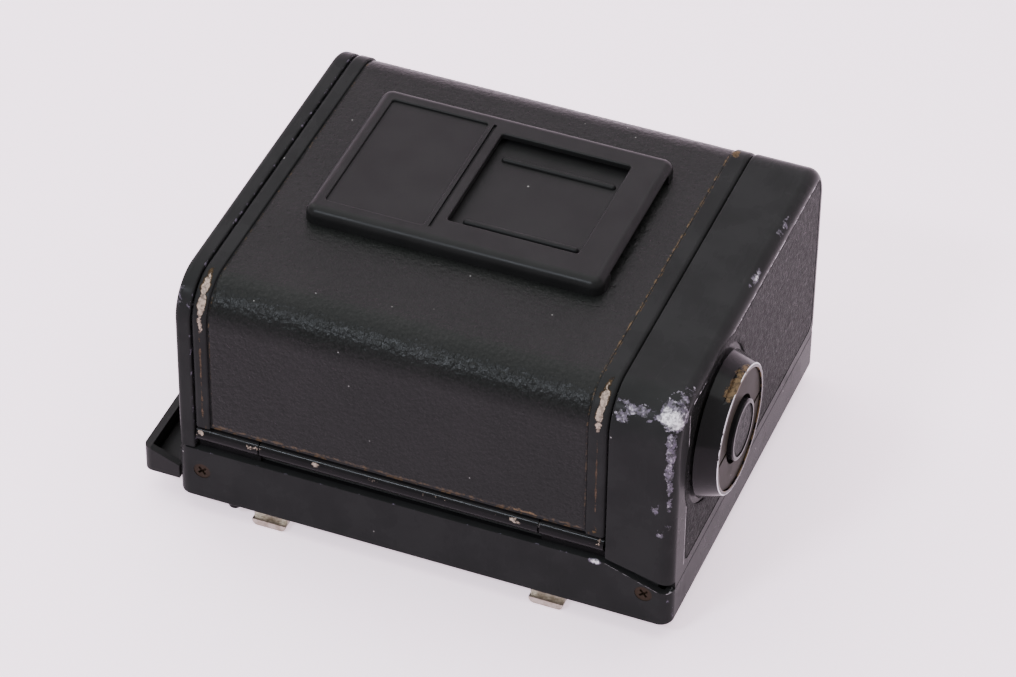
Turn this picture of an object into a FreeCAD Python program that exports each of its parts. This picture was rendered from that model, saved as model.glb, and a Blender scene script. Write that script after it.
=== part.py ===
"""Roll-film magazine for a medium-format camera, lying on its camera-mating face.

Origin: centre of the film gate, on the mating face.
+X points to the winding knob, +Y to the camera's top, +Z away from the lens.
Units are millimetres. "Near" is the -Y side with the hinge, "far" the +Y side with the catch.
"""
import FreeCAD, Part
import math
import os

from FreeCAD import Vector

# ---------------------------------------------------------------- driving dimensions
HALF_Y = 36.2                 # half the height of the magazine on the camera
TOP_Z = 44.85                 # rear face of the cover above the mating face
BEND_R = 7.5                  # large bends between the rear face and the long sides
SEAM_X = 36.0                 # inner faces of the end cap and of the drive housing
SEAM_GAP = 0.2                # running gap between the cover and its two neighbours
OVER = 1.0                    # how far a cutting tool runs past the surface it opens
TINY = 1e-3                   # tolerance for finding edges
RUN = 0.05                    # radial running clearance
SKIN_T = 0.3                  # leatherette thickness
SKIN_GAP = 0.05               # gap round a leatherette field

# frame
FRAME_OUT_X = -39.4
FRAME_CHAMFER = 1.6           # slanted corner at the left end of each long flange
FRAME_LEFT_Z = 8.7
FRAME_RIGHT_Z = 6.9
FLANGE_Z = 10.5               # top of the long flanges
SLOPE_END = (45.5, 7.1)       # foot of the flange's slope under the housing
FRAME_CORNER_R = 2.3
FRAME_EDGE_R = 0.4
FRAME_END_T = 1.4
FLANGE_T = 1.3
FLOOR_Z = 4.5
PIT_FLOOR_Z = 1.5             # deeper floor under the gear train
PIT_HALF_Y = 33.5
INNER_WALL_Y = (-32.9, -32.1)
INNER_WALL_Z = 14.0
GATE = (56.0, 42.5)           # film gate, width by height
GATE_CORNER_R = 0.8
RAILS_X = ((28.8, 29.8), (31.4, 32.4))
RAIL_HALF_Y = 24.0
RAIL_Z = 5.0

# fasteners
HEAD_T = 0.8
HEAD_SINK = 0.1
SHANK_RATIO = 0.6             # shank radius over head radius
CROSS_LONG, CROSS_WIDE, CROSS_DEEP = 1.2, 0.28, 0.5
CROSS_TURNS = (40, 130)
FLANGE_SCREW_R = 1.5
FLANGE_SCREW_LENGTH = 2.9
FLANGE_SCREWS = ((-34.85, 6.0), (42.8, 6.1))          # x, z on both long flanges
FACE_SCREW_R = 1.6
FACE_SCREW_LENGTH = 4.0
FACE_SCREW_BOSS = 0.8
FACE_SCREWS = [(x, side * y) for x, y in ((-34.6, 33.0), (34.6, 24.0), (43.4, 30.6)) for side in (-1, 1)]

# hooks, latches and pins that meet the camera
NEAR_LUG_X = ((-26.3, -20.3), (22.9, 28.9))
LUG_ROOT_Y = (-34.6, -33.4)
LUG_ROOT_Z = 3.4
LUG_TOE_Y = -35.6
LUG_DROP = 3.3
LUG_THROAT_Z = -2.1
LUG_EDGE_R = 1.0
LOCATING_PINS = ((-29.8, -34.4), (31.2, 33.2))
LOCATING_R = 1.15
LOCATING_ROOT_R = 0.95
LOCATING_ROOT_Z = 2.6
LOCATING_DROP = 1.3
LOCATING_TIP_R = 0.4
LOCATING_RELIEF = (1.35, 0.25)                        # radius and depth of the relief round each pin
LATCH_X = 25.0
LATCH_HALF = 3.0
LATCH_TRAVEL = 2.4
LATCH_Y = (33.45, 34.55)
LATCH_CLAW_Y = 35.5
LATCH_BAR_Z = 8.6
LATCH_ROOM = 0.2
LATCH_NECK_Z = (5.2, 7.8)
BUTTON_Z = (4.6, 8.4)
BUTTON_OUT = (0.25, 1.35)
BUTTON_EDGE_R = 0.5
BUTTON_RIBS = 3
BUTTON_RIB_PITCH = 1.2
CONTACT_HALF_X = 12.0
CONTACT_Y = (31.6, 34.4)
CONTACT_DEEP = 2.0
CONTACT_CORNER_R = 1.2
CONTACT_PIN_R = 0.8
CONTACT_PIN_Z = (-0.15, 1.6)
CONTACT_PITCH = 3.6
CONTACT_COUNT = 6

# left end cap and drive housing
CAP_OUT_X = -38.8
CAP_EDGE_R = 1.0
CAP_LOW_Z = 10.9
SEAM_EDGE_R = 0.35
CAP_SKIN_INSET = 3.6
CAP_SKIN_LOW_Z = 14.5
CAP_TONGUE = (-36.9, 34.0, 11.5)                      # x of its outer face, half width, top
CAP_EAR = (-33.2, 33.1, 8.5)                          # x of its end, inner y, top
HOUSING_OUT_X = 47.44
HOUSING_LOW_Z = 7.15
HOUSING_T = 1.4
HOUSING_SEAM_T = 1.2
HOUSING_EDGE_R = 2.2
HOUSING_SLOPE_Z = (11.8, 8.4)                         # lower edge of the long sides, left and right
HOUSING_SLOPE_DEEP = 3.2
HOUSING_TONGUE = (32.0, 8.0)                          # half width, top
HOUSING_EAR_X = (40.8, 44.8)
HOUSING_EAR_Y = (33.6, 34.8)
HOUSING_EAR_Z = 12.0
FIELD_Y = (-30.0, 33.5)
FIELD_Z = (9.05, 42.0)
FIELD_CORNER_R = 2.0
BULGE_R = 15.2                                        # leatherette round the knob
BULGE_BORE_R = 13.4
WINDOW_X = (39.6, 42.8)
WINDOW_Z = (24.4, 32.0)
WINDOW_LEDGE = 0.6
PANE_Y = (0.8, 0.1)                                   # depth of the pane's two faces

# far wall and catch
FAR_WALL_HIGH_Z = 27.7
FAR_TAB_Y = (34.1, 34.9)
FAR_TAB_Z = (5.0, 12.0)
FAR_STEP_Y = 35.5
FAR_SKIN_Z = (12.0, 26.8)
CATCH_Z = 21.0
CATCH_R = 3.0
CATCH_OUT = 1.0
CATCH_IN = 0.55
CATCH_EDGE_R = 0.4
CATCH_RIM = 0.6
SEAL_HALF_X = 34.4
FAR_SEAL_Y = (34.1, 35.0)
FAR_SEAL_Z = (26.0, 27.9)
SEAL_NOTCH = (4.6, 34.7)
NEAR_SEAL_Y = (-34.0, -33.0)
NEAR_SEAL_Z = (10.4, 11.8)
TONGUE_FOOT = (5.0, 0.4, 5.0)                         # half width, low and high above the lip
TONGUE_BLADE = (4.0, 17.5)                            # half width, lower end
TONGUE_Y = (33.9, 34.5, 34.9)                         # inner face, blade face, foot face
TONGUE_NOTCH = (2.6, 19.0, 23.0)

# hinge
HINGE_Y = -34.7
HINGE_Z = 13.6
BARREL_R = 1.5
HINGE_PIN_R = 0.7
KNUCKLE_X = 24.55             # where the centre knuckle ends
KNUCKLE_GAP = 0.15
BARREL_END_X = 35.7
FRAME_LEAF_Y = (-34.9, -34.1)
COVER_LEAF_Y = (-35.0, -34.2)
COVER_LEAF_Z = 20.5
RIVET_Z = 18.3
RIVET_R = 0.8
RIVET_HEAD_R = 1.4
RIVET_PITCH = 10.0
RIVET_COUNT = 5
RIVET_Y = (-35.4, -34.2, -33.8)                       # shank's outer end, head's two faces

# cover
COVER_T = 1.2
COVER_LOW_Z = 15.7            # lower edge above the hinge
COVER_EDGE_R = 0.8
LIP_LOW_Z = 28.0              # lower edge of the far lip
PANEL_X = (-32.9, 32.4)       # leatherette between the two painted rims
PANEL_LOW_Z = 16.2
PANEL_GROOVE = 0.22           # narrow valley between the leatherette and each rim
SKIN_SINK = 0.3               # how far the leatherette lies below the rims
COVER_SKIN_T = 0.2            # thinner leatherette that bends round the cover
RIM_EDGE_R = 0.3
RIB_T = 1.0
RIB_INSET = (0.6, 2.8)
FAR_PANEL_EDGE = 0.6

# memo holder
MEMO_X = (-26.1, 25.8)
MEMO_Y = (-13.1, 22.1)
MEMO_CORNER_R = 2.0
MEMO_EDGE_R = 1.7
MEMO_TOP_Z = 47.45
MEMO_WINDOW_X = (-3.2, 19.6)
MEMO_WINDOW_Y = (-7.1, 17.3)
MEMO_PANEL_X = (-23.5, -6.3)
MEMO_PANEL_Y = (-9.8, 19.0)
MEMO_PANEL_DEEP = 0.45
MEMO_PANEL_R = 0.3
MEMO_GROOVE_X = (-5.35, -4.75)
MEMO_INNER_R = 0.6
MEMO_FRAME_T = 1.0
CARD_SLOT_X = (-5.5, 26.8)
CARD_SLOT_Y = (-8.6, 18.4)
BACKPLATE_END_X = 23.8
MEMO_FLOOR_Z = 45.55
MEMO_RIBS = ((-1.0, 18.0, 12.9), (-0.8, 18.2, -4.6))  # x from, x to, y
MEMO_RIB_R = 0.55
MEMO_RIB_RISE = 0.1

# winding knob
KNOB_Y = -16.5                # winding axis, also the take-up spool's axis
KNOB_Z = 28.2
RING_BACK_X = 47.75
RING_FLOOR_X = 49.4
RING_FRONT_X = 51.4
RING_BASE_R = 12.4
RING_FRONT_R = 11.0
RING_BORE_R = 10.3
RING_EDGE_R = 0.25
FACET_X = 50.15               # nail facet across the ring's top edge
FACET_REACH = 10.75
FACET_HALF = 8.0
FACET_TURN = 12
KEY_FRONT_X = 51.1
KEY_AXIS_X = 50.4
KEY_T = 1.5
KEY_R = 10.15
KEY_BORE_R = 5.85
KEY_SPLIT = 0.8
KEY_PIN_R = 0.35
KEY_PIN_OFFSET = 9.7
KEY_PIN_HALF = 1.4
KEY_PIN_ROOM = 0.2
HUB_R = 5.2
HUB_FRONT_X = 51.95
HUB_EDGE_R = 0.3
HUB_RIM = 0.7
INLAY_DEEP = 0.4
INLAY_SINK = 0.1
SHAFT_R = 2.5
SHAFT_END_X = 50.6
SHAFT_LEFT_X = 32.9
SPOOL_KEY_X = (31.0, 33.0)
SPOOL_KEY_STUB_R = 1.5
SPOOL_KEY = (3.4, 0.6, 2.75)                          # half width, half thickness, rounding radius
CLIP_X = (44.2, 44.9)
CLIP_R = 3.8
CLIP_MOUTH = (1.6, 5.0)
BEARING_X = 45.0
BEARING_R = 4.0

# take-up spool
SPOOL_R = 12.5
SPOOL_HALF_X = 32.5
SPOOL_FLANGE_T = 1.0
SPOOL_CORE_R = 6.0
SPOOL_SLOT = (24.0, 0.8)                              # half length, half width
SPOOL_SOCKET = (27.5, 2.8)                            # x of its floor, radius
SPOOL_KEYWAY = (30.8, 4.2, 0.7)                       # x of its floor, half width, half thickness

# gear train
GEAR_T = 1.5
PLANE_A = 38.6                # winding train
PLANE_B = 41.0                # counter train, first stage
PLANE_C = 43.3                # counter train, second stage
MODULE_A = 0.75
MODULE_B = 0.6
WINDING_TEETH = 24
IDLER_TEETH = 14
COUPLING_TEETH = 16
PINION_TEETH = 14
COMPOUND_TEETH = 40
SMALL_TEETH = 14
COUNTER_IDLER_TEETH = 16
DIAL_TEETH = 34
POST_R = 1.4
PRESSURE_ANGLE = math.radians(25)
ADDENDUM = 0.85               # of the module
DEDENDUM = 1.15
BACKLASH = 0.12
IDLER_Y = -12.0
COUPLING_Z = 6.2
GEAR_SLOT = (0.4, 5.6, 2.0)   # side room, half length and height of the slot for the coupling gear
SLEEVE_R = 3.3
NECK_R = 3.2
DIAL_R = 10.4
DIAL_INNER_R = 9.2
DIAL_HUB_R = 3.0
DIAL_X = 39.4
DIAL_WEB_X = 42.4
COUNTER_PLATE_X = (45.1, 45.9)
COUNTER_PLATE_Y = (-11.6, 32.0)
COUNTER_PLATE_Z = (17.5, 39.0)
COUNTER_PLATE_R = 3.0
COUNTER_POSTS_X = {"compound": 40.5, "counter_idler": 42.9, "dial": 38.8}
POST_END = 0.8

# film insert
SUPPLY_Y = 20.5
SUPPLY_Z = 25.0
PLATE_X = (32.7, 33.7)        # insert side plates, mirrored
LOBE_R = (13.3, 12.6)
PLATE_FOOT_Y = (-29.6, 32.0)
PLATE_FOOT_Z = 22.0
PLATE_FOOT_R = 1.5
PLATE_MIDDLE_Z = (20.0, 36.0)
DRIVE_HOLE_R = 3.4
ROLLER_Y = 27.0
ROLLER_Z = 7.8
ROLLER_R = 2.6
ROLLER_END_GAP = 0.4
ROLLER_WAIST = (24.0, 0.15)
AXLE_R = 0.8
BRIDGE_HALF_Y = 21.0
BRIDGE_Z = (8.6, 9.4)
WEB_Y = ((-2.8, -2.0), (6.0, 6.8))
ROOF_Z = (33.2, 34.0)
STUD_R = 1.0
STUD_AT = (26.0, 13.0)
STUD_TOP_Z = 10.6
PRESS_PLATE = (31.0, 22.5, 2.0)                       # half length, half width, corner radius
PRESS_PLATE_Z = (5.15, 5.95)
SPRING_T = 0.25
SPRING_HALF_X = 18.0
SPRING_HALF_W = 2.0
SPRING_Y = 8.0
SPRING_GAP = 0.01
HOLDER_R = 2.7
HOLDER_X = (31.0, 33.9)
HOLDER_EDGE_R = 0.6
COLLAR_X = (33.8, 34.4)
COLLAR_R = 3.8
HUB_COLLAR_X = (33.8, 34.6)
HUB_COLLAR_R = 5.0

# dark slide
SLOT_Z = (2.3, 2.9)
SLOT_HALF_Y = 31.1
SHEET_X = (-44.6, 31.5)
SHEET_HALF_Y = 31.0
SHEET_Z = (2.4, 2.8)
SHEET_CORNER_R = 2.0
HANDLE_X = (-46.4, -39.75)
HANDLE_HALF_Y = 34.7
HANDLE_Z = (1.5, 6.3)
HANDLE_ARM_Z = 4.2            # height of the end arms where they meet the frame
HANDLE_T = 1.35
HANDLE_CORNER_R = 1.6
HANDLE_FLOOR_Z = 3.1

X_AXIS = Vector(1, 0, 0)
Y_AXIS = Vector(0, 1, 0)
Z_AXIS = Vector(0, 0, 1)
ORIGIN = Vector(0, 0, 0)


# ---------------------------------------------------------------- helpers
def box(x0, x1, y0, y1, z0, z1):
    return Part.makeBox(x1 - x0, y1 - y0, z1 - z0, Vector(x0, y0, z0))


def rod_x(x0, x1, y, z, r):
    return Part.makeCylinder(r, x1 - x0, Vector(x0, y, z), X_AXIS)


def rod_y(x, y0, y1, z, r):
    return Part.makeCylinder(r, y1 - y0, Vector(x, y0, z), Y_AXIS)


def rod_z(x, y, z0, z1, r):
    return Part.makeCylinder(r, z1 - z0, Vector(x, y, z0), Z_AXIS)


def prism(points, direction):
    """Straight-sided prism from a closed outline given as Vectors."""
    wire = Part.makePolygon(points + [points[0]])
    return Part.Face(wire).extrude(direction)


def fuse(first, *others):
    return first.multiFuse(list(others)).removeSplitter()


def cut(first, *others):
    return first.cut(list(others))


def compound(shapes):
    return Part.makeCompound(list(shapes))


def both_sides(low, high, side):
    """The stretch from low to high, on the side given by a sign, in rising order."""
    return sorted((side * low, side * high))


def fillet_where(shape, radius, test):
    """Round every edge that passes the test."""
    return shape.makeFillet(radius, [e for e in shape.Edges if test(e)])


def at_x(x):
    """Edge test: the whole edge lies in the plane of constant x."""
    return lambda e: abs(e.BoundBox.XMin - x) < TINY and abs(e.BoundBox.XMax - x) < TINY


def below_z(z):
    """Edge test: the whole edge lies at or under a height."""
    return lambda e: e.BoundBox.ZMax < z + TINY


def upright(length):
    """Edge test: a vertical edge at least so long."""
    return lambda e: (e.BoundBox.ZLength > length - TINY and e.BoundBox.XLength < TINY
                      and e.BoundBox.YLength < TINY)


def wrap(x0, x1, inset, z_low):
    """Solid with the magazine's end outline: flat rear face and two large bends."""
    half = HALF_Y - inset
    top = TOP_Z - inset
    r = BEND_R - inset
    k = r * (1 - math.sqrt(0.5))
    near_low = Vector(x0, -half, z_low)
    near_high = Vector(x0, -half, top - r)
    near_top = Vector(x0, -half + r, top)
    far_top = Vector(x0, half - r, top)
    far_high = Vector(x0, half, top - r)
    far_low = Vector(x0, half, z_low)
    edges = [
        Part.LineSegment(near_low, near_high).toShape(),
        Part.Arc(near_high, Vector(x0, -half + k, top - k), near_top).toShape(),
        Part.LineSegment(near_top, far_top).toShape(),
        Part.Arc(far_top, Vector(x0, half - k, top - k), far_high).toShape(),
        Part.LineSegment(far_high, far_low).toShape(),
        Part.LineSegment(far_low, near_low).toShape(),
    ]
    return Part.Face(Part.Wire(edges)).extrude(Vector(x1 - x0, 0, 0))


def rounded_slab(x0, x1, y0, y1, z0, z1, r):
    """Flat slab with its four vertical edges rounded."""
    return fillet_where(box(x0, x1, y0, y1, z0, z1), r, upright(z1 - z0))


def screw_blank(base, r, head_depth, length, direction):
    """Head and shank of a flat-headed screw that points inward from base."""
    inward = direction * -1
    head = Part.makeCylinder(r, head_depth, base, inward)
    shank = Part.makeCylinder(SHANK_RATIO * r, length, base, inward)
    return fuse(head, shank)


def cross_screw(x, y, z, r, length, direction):
    """Flat-headed screw sunk a little below the point, with a crossed recess."""
    base = Vector(x, y, z) - direction * HEAD_SINK
    body = screw_blank(base, r, HEAD_T, length - HEAD_SINK, direction)
    long, wide = CROSS_LONG * r, CROSS_WIDE * r
    facing = FreeCAD.Placement(base, FreeCAD.Rotation(Z_AXIS, direction))
    slots = []
    for turn in CROSS_TURNS:
        slot = box(-long / 2, long / 2, -wide / 2, wide / 2, -CROSS_DEEP, 0)
        slot.rotate(ORIGIN, Z_AXIS, turn)
        slot.Placement = facing.multiply(slot.Placement)
        slots.append(slot)
    return cut(body, *slots)


def screw_hole(x, y, z, r, length, direction):
    """Space that a cross_screw needs, open at the surface."""
    return screw_blank(Vector(x, y, z), r, HEAD_T + HEAD_SINK, length, direction)


def gear(teeth, module, x0, y, z, phase, bore):
    """Spur gear on an axis along X with short involute teeth."""
    pitch_r = module * teeth / 2
    base_r = pitch_r * math.cos(PRESSURE_ANGLE)
    root_r = pitch_r - DEDENDUM * module
    tip_r = pitch_r + ADDENDUM * module
    half_pitch_angle = (math.pi * module / 2 - BACKLASH) / (2 * pitch_r)
    roll = math.tan(PRESSURE_ANGLE) - PRESSURE_ANGLE

    def half_angle(radius):
        if radius <= base_r:
            return half_pitch_angle + roll
        a = math.acos(base_r / radius)
        return half_pitch_angle + roll - (math.tan(a) - a)

    start_r = max(base_r, root_r) + RUN
    flank = [root_r, start_r, (start_r + pitch_r) / 2, pitch_r, (pitch_r + tip_r) / 2, tip_r]
    outline = []
    for i in range(teeth):
        centre = phase + 2 * math.pi * i / teeth
        rising = [(r, centre - half_angle(r)) for r in flank]
        falling = [(r, centre + half_angle(r)) for r in reversed(flank)]
        for r, a in rising + falling:
            outline.append(Vector(x0, y + r * math.cos(a), z + r * math.sin(a)))
    blank = prism(outline, Vector(GEAR_T, 0, 0))
    return cut(blank, rod_x(x0 - OVER, x0 + GEAR_T + OVER, y, z, bore))


def meshing_phase(teeth, phase, centre, next_teeth, next_centre):
    """Phase of the next gear so that its gap faces a tooth of this one."""
    toward = math.atan2(next_centre[1] - centre[1], next_centre[0] - centre[0])
    passed = (toward - phase) * teeth / (2 * math.pi)
    return toward + math.pi - (0.5 - passed) * 2 * math.pi / next_teeth


# ---------------------------------------------------------------- gear train layout
def train_layout():
    """Centres (y, z) and phases of the gears, worked out from their tooth counts."""
    knob = (KNOB_Y, KNOB_Z)
    reach = MODULE_A * (WINDING_TEETH + IDLER_TEETH) / 2
    idler = (IDLER_Y, KNOB_Z - math.sqrt(reach ** 2 - (IDLER_Y - KNOB_Y) ** 2))
    reach = MODULE_A * (IDLER_TEETH + COUPLING_TEETH) / 2
    drop = idler[1] - COUPLING_Z
    coupling = (idler[0] - math.sqrt(reach ** 2 - drop ** 2), COUPLING_Z)
    compound_at = (KNOB_Y + MODULE_B * (PINION_TEETH + COMPOUND_TEETH) / 2, KNOB_Z)
    counter_idler = (compound_at[0] + MODULE_B * (SMALL_TEETH + COUNTER_IDLER_TEETH) / 2, KNOB_Z)
    dial = (counter_idler[0] + MODULE_B * (COUNTER_IDLER_TEETH + DIAL_TEETH) / 2, KNOB_Z)
    phases = {"winding": 0.0, "pinion": 0.0, "small": 0.0}
    phases["idler"] = meshing_phase(WINDING_TEETH, 0.0, knob, IDLER_TEETH, idler)
    phases["coupling"] = meshing_phase(IDLER_TEETH, phases["idler"], idler, COUPLING_TEETH, coupling)
    phases["compound"] = meshing_phase(PINION_TEETH, 0.0, knob, COMPOUND_TEETH, compound_at)
    phases["counter_idler"] = meshing_phase(SMALL_TEETH, 0.0, compound_at, COUNTER_IDLER_TEETH,
                                            counter_idler)
    phases["dial"] = meshing_phase(COUNTER_IDLER_TEETH, phases["counter_idler"], counter_idler,
                                   DIAL_TEETH, dial)
    centres = {"knob": knob, "idler": idler, "coupling": coupling, "compound": compound_at,
               "counter_idler": counter_idler, "dial": dial}
    return centres, phases


CENTRES, PHASES = train_layout()


# ---------------------------------------------------------------- frame
def frame_block():
    """Outside of the frame: an oblong with a sloping shoulder at each end."""
    outline = [(FRAME_OUT_X, 0), (FRAME_OUT_X, FRAME_LEFT_Z), (FRAME_OUT_X + FRAME_CHAMFER, FLANGE_Z),
               (SEAM_X, FLANGE_Z), SLOPE_END, (HOUSING_OUT_X, FRAME_RIGHT_Z), (HOUSING_OUT_X, 0)]
    block = prism([Vector(x, -HALF_Y, z) for x, z in outline], Vector(0, 2 * HALF_Y, 0))
    block = fillet_where(block, FRAME_CORNER_R, upright(FRAME_RIGHT_Z))
    return fillet_where(block, FRAME_EDGE_R, below_z(0))


def mount_frame():
    inner_y = HALF_Y - FLANGE_T
    inside_x = HOUSING_OUT_X - HOUSING_T
    room, half_length, height = GEAR_SLOT
    coupling_y = CENTRES["coupling"][0]
    openings = [
        box(FRAME_OUT_X + FRAME_END_T, inside_x, -inner_y, inner_y, FLOOR_Z, TOP_Z),
        box(SEAM_X + HOUSING_SEAM_T, inside_x, -PIT_HALF_Y, PIT_HALF_Y, PIT_FLOOR_Z, TOP_Z),
        box(FRAME_OUT_X - OVER, SHEET_X[1] + OVER, -SLOT_HALF_Y, SLOT_HALF_Y, *SLOT_Z),
        rounded_slab(-GATE[0] / 2, GATE[0] / 2, -GATE[1] / 2, GATE[1] / 2,
                     -OVER, FLOOR_Z + OVER, GATE_CORNER_R),
        box(PLANE_A - room, PLANE_A + GEAR_T + room, coupling_y - half_length, coupling_y + half_length,
            -OVER, height),
    ]
    frame = cut(frame_block(), *openings)
    inner_wall = box(-SEAM_X + SEAM_GAP, SEAM_X - SEAM_GAP, *INNER_WALL_Y, FLOOR_Z, INNER_WALL_Z)
    rails = [box(*both_sides(low, high, side), -RAIL_HALF_Y, RAIL_HALF_Y, FLOOR_Z, RAIL_Z)
             for side in (-1, 1) for low, high in RAILS_X]
    bosses = [rod_z(x, y, PIT_FLOOR_Z, FLOOR_Z, FACE_SCREW_R + FACE_SCREW_BOSS)
              for x, y in FACE_SCREWS if x > SEAM_X]
    frame = fuse(frame, inner_wall, *rails, *bosses)

    holes = [screw_hole(x, side * HALF_Y, z, FLANGE_SCREW_R, FLANGE_SCREW_LENGTH, Y_AXIS * side)
             for x, z in FLANGE_SCREWS for side in (-1, 1)]
    holes += [screw_hole(x, y, 0, FACE_SCREW_R, FACE_SCREW_LENGTH, Z_AXIS * -1) for x, y in FACE_SCREWS]
    holes += [box(x0, x1, *LUG_ROOT_Y, -OVER, LUG_ROOT_Z) for x0, x1 in NEAR_LUG_X]
    relief_r, relief_z = LOCATING_RELIEF
    holes += [rod_z(x, y, -OVER, LOCATING_ROOT_Z, LOCATING_ROOT_R) for x, y in LOCATING_PINS]
    holes += [rod_z(x, y, -OVER, relief_z, relief_r) for x, y in LOCATING_PINS]
    holes += [latch_slot(side) for side in (-1, 1)]
    holes.append(contact_seat(-OVER))
    return cut(frame, *holes)


def hook_lug(x0, x1):
    """Steel hook: an upright tab whose toe is turned to -Y."""
    root = box(x0, x1, *LUG_ROOT_Y, 0, LUG_ROOT_Z)
    tab = box(x0, x1, LUG_TOE_Y, LUG_ROOT_Y[1], -LUG_DROP, 0)
    tab = fillet_where(tab, LUG_EDGE_R, lambda e: below_z(-LUG_DROP)(e) and e.BoundBox.YLength > OVER)
    throat = box(x0 - OVER, x1 + OVER, LUG_TOE_Y - OVER, LUG_ROOT_Y[0], LUG_THROAT_Z, OVER)
    return fuse(root, cut(tab, throat))


def locating_pins():
    """Two pins with a thinner root let into the frame and a rounded free end."""
    pins = []
    for x, y in LOCATING_PINS:
        tip = fillet_where(rod_z(x, y, -LOCATING_DROP, 0, LOCATING_R), LOCATING_TIP_R,
                           below_z(-LOCATING_DROP))
        pins.append(fuse(tip, rod_z(x, y, 0, LOCATING_ROOT_Z, LOCATING_ROOT_R)))
    return compound(pins)


def latch_slot(side):
    """Openings in the floor and in the far flange for a sliding latch."""
    x0, x1 = both_sides(LATCH_X - LATCH_HALF - LATCH_TRAVEL - LATCH_ROOM,
                        LATCH_X + LATCH_HALF + LATCH_ROOM, side)
    floor_slot = box(x0, x1, LATCH_Y[0] - LATCH_ROOM, LATCH_Y[1] + LATCH_ROOM, -OVER, FLOOR_Z + LATCH_ROOM)
    neck_slot = box(x0 + OVER, x1 - OVER, HALF_Y - FLANGE_T - LATCH_ROOM, HALF_Y + OVER,
                    LATCH_NECK_Z[0] - LATCH_ROOM, LATCH_NECK_Z[1] + LATCH_ROOM)
    return fuse(floor_slot, neck_slot)


def latch(side):
    """Sliding latch: claw below the mating face, bar in the frame, thumb button outside."""
    x0, x1 = both_sides(LATCH_X - LATCH_HALF, LATCH_X + LATCH_HALF, side)
    claw = box(x0, x1, LATCH_Y[0], LATCH_CLAW_Y, -LUG_DROP, -LATCH_ROOM)
    claw = fillet_where(claw, LUG_EDGE_R, lambda e: below_z(-LUG_DROP)(e) and e.BoundBox.YLength > OVER)
    claw = cut(claw, box(x0 - OVER, x1 + OVER, LATCH_Y[1], HALF_Y, LUG_THROAT_Z, OVER))
    bar = box(x0, x1, *LATCH_Y, -LATCH_ROOM, LATCH_BAR_Z)
    neck = box(x0 + OVER, x1 - OVER, LATCH_Y[1], HALF_Y + BUTTON_OUT[0], *LATCH_NECK_Z)
    button = box(x0 + LATCH_ROOM, x1 - LATCH_ROOM, HALF_Y + BUTTON_OUT[0], HALF_Y + BUTTON_OUT[1], *BUTTON_Z)
    button = fillet_where(button, BUTTON_EDGE_R, lambda e: e.BoundBox.YMin > HALF_Y + BUTTON_OUT[1] - TINY)
    middle = (x0 + x1) / 2 - BUTTON_RIB_PITCH * (BUTTON_RIBS - 1) / 2
    grooves = [box(middle + i * BUTTON_RIB_PITCH - LATCH_ROOM, middle + i * BUTTON_RIB_PITCH + LATCH_ROOM,
                   HALF_Y + BUTTON_OUT[1] - BUTTON_OUT[0], HALF_Y + 2 * OVER, *LATCH_NECK_Z)
               for i in range(BUTTON_RIBS)]
    return fuse(claw, bar, neck, cut(button, *grooves))


def contact_seat(z_low):
    """Rounded oblong of the contact block, from a height up to the seat's floor."""
    return rounded_slab(-CONTACT_HALF_X, CONTACT_HALF_X, *CONTACT_Y, z_low, CONTACT_DEEP, CONTACT_CORNER_R)


def contact_rods(z_low):
    y = sum(CONTACT_Y) / 2
    first = -CONTACT_PITCH * (CONTACT_COUNT - 1) / 2
    return [rod_z(first + CONTACT_PITCH * i, y, z_low, CONTACT_PIN_Z[1], CONTACT_PIN_R)
            for i in range(CONTACT_COUNT)]


def contact_block():
    return cut(contact_seat(HEAD_SINK), *contact_rods(-OVER))


def contact_pins():
    return compound(contact_rods(CONTACT_PIN_Z[0]))


def flange_screws():
    return compound(cross_screw(x, side * HALF_Y, z, FLANGE_SCREW_R, FLANGE_SCREW_LENGTH, Y_AXIS * side)
                    for x, z in FLANGE_SCREWS for side in (-1, 1))


def mating_face_screws():
    return compound(cross_screw(x, y, 0, FACE_SCREW_R, FACE_SCREW_LENGTH, Z_AXIS * -1)
                    for x, y in FACE_SCREWS)


def flange_screw_shanks(place):
    """Threaded holes for the flange screws at one end of the frame."""
    x, z = place
    return [rod_y(x, side * HALF_Y - FLANGE_SCREW_LENGTH, side * HALF_Y + FLANGE_SCREW_LENGTH, z,
                  SHANK_RATIO * FLANGE_SCREW_R) for side in (-1, 1)]


# ---------------------------------------------------------------- fixed shells
def left_end_cap():
    plate = wrap(CAP_OUT_X, -SEAM_X, 0, CAP_LOW_Z)
    plate = fillet_where(plate, CAP_EDGE_R, at_x(CAP_OUT_X))
    plate = fillet_where(plate, SEAM_EDGE_R, lambda e: at_x(-SEAM_X)(e) and not below_z(CAP_LOW_Z)(e))
    tongue_x, tongue_y, tongue_z = CAP_TONGUE
    ear_x, ear_y, ear_z = CAP_EAR
    tongue = box(tongue_x, -SEAM_X, -tongue_y, tongue_y, FLOOR_Z, tongue_z)
    ears = [box(tongue_x, ear_x, *both_sides(ear_y, tongue_y, side), FLOOR_Z, ear_z) for side in (-1, 1)]
    recess = wrap(CAP_OUT_X - OVER, CAP_OUT_X + SKIN_T, CAP_SKIN_INSET, CAP_SKIN_LOW_Z)
    return cut(fuse(plate, tongue, *ears), recess, *flange_screw_shanks(FLANGE_SCREWS[0]))


def left_cap_leatherette():
    return wrap(CAP_OUT_X + SKIN_GAP, CAP_OUT_X + SKIN_T, CAP_SKIN_INSET, CAP_SKIN_LOW_Z)


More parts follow.
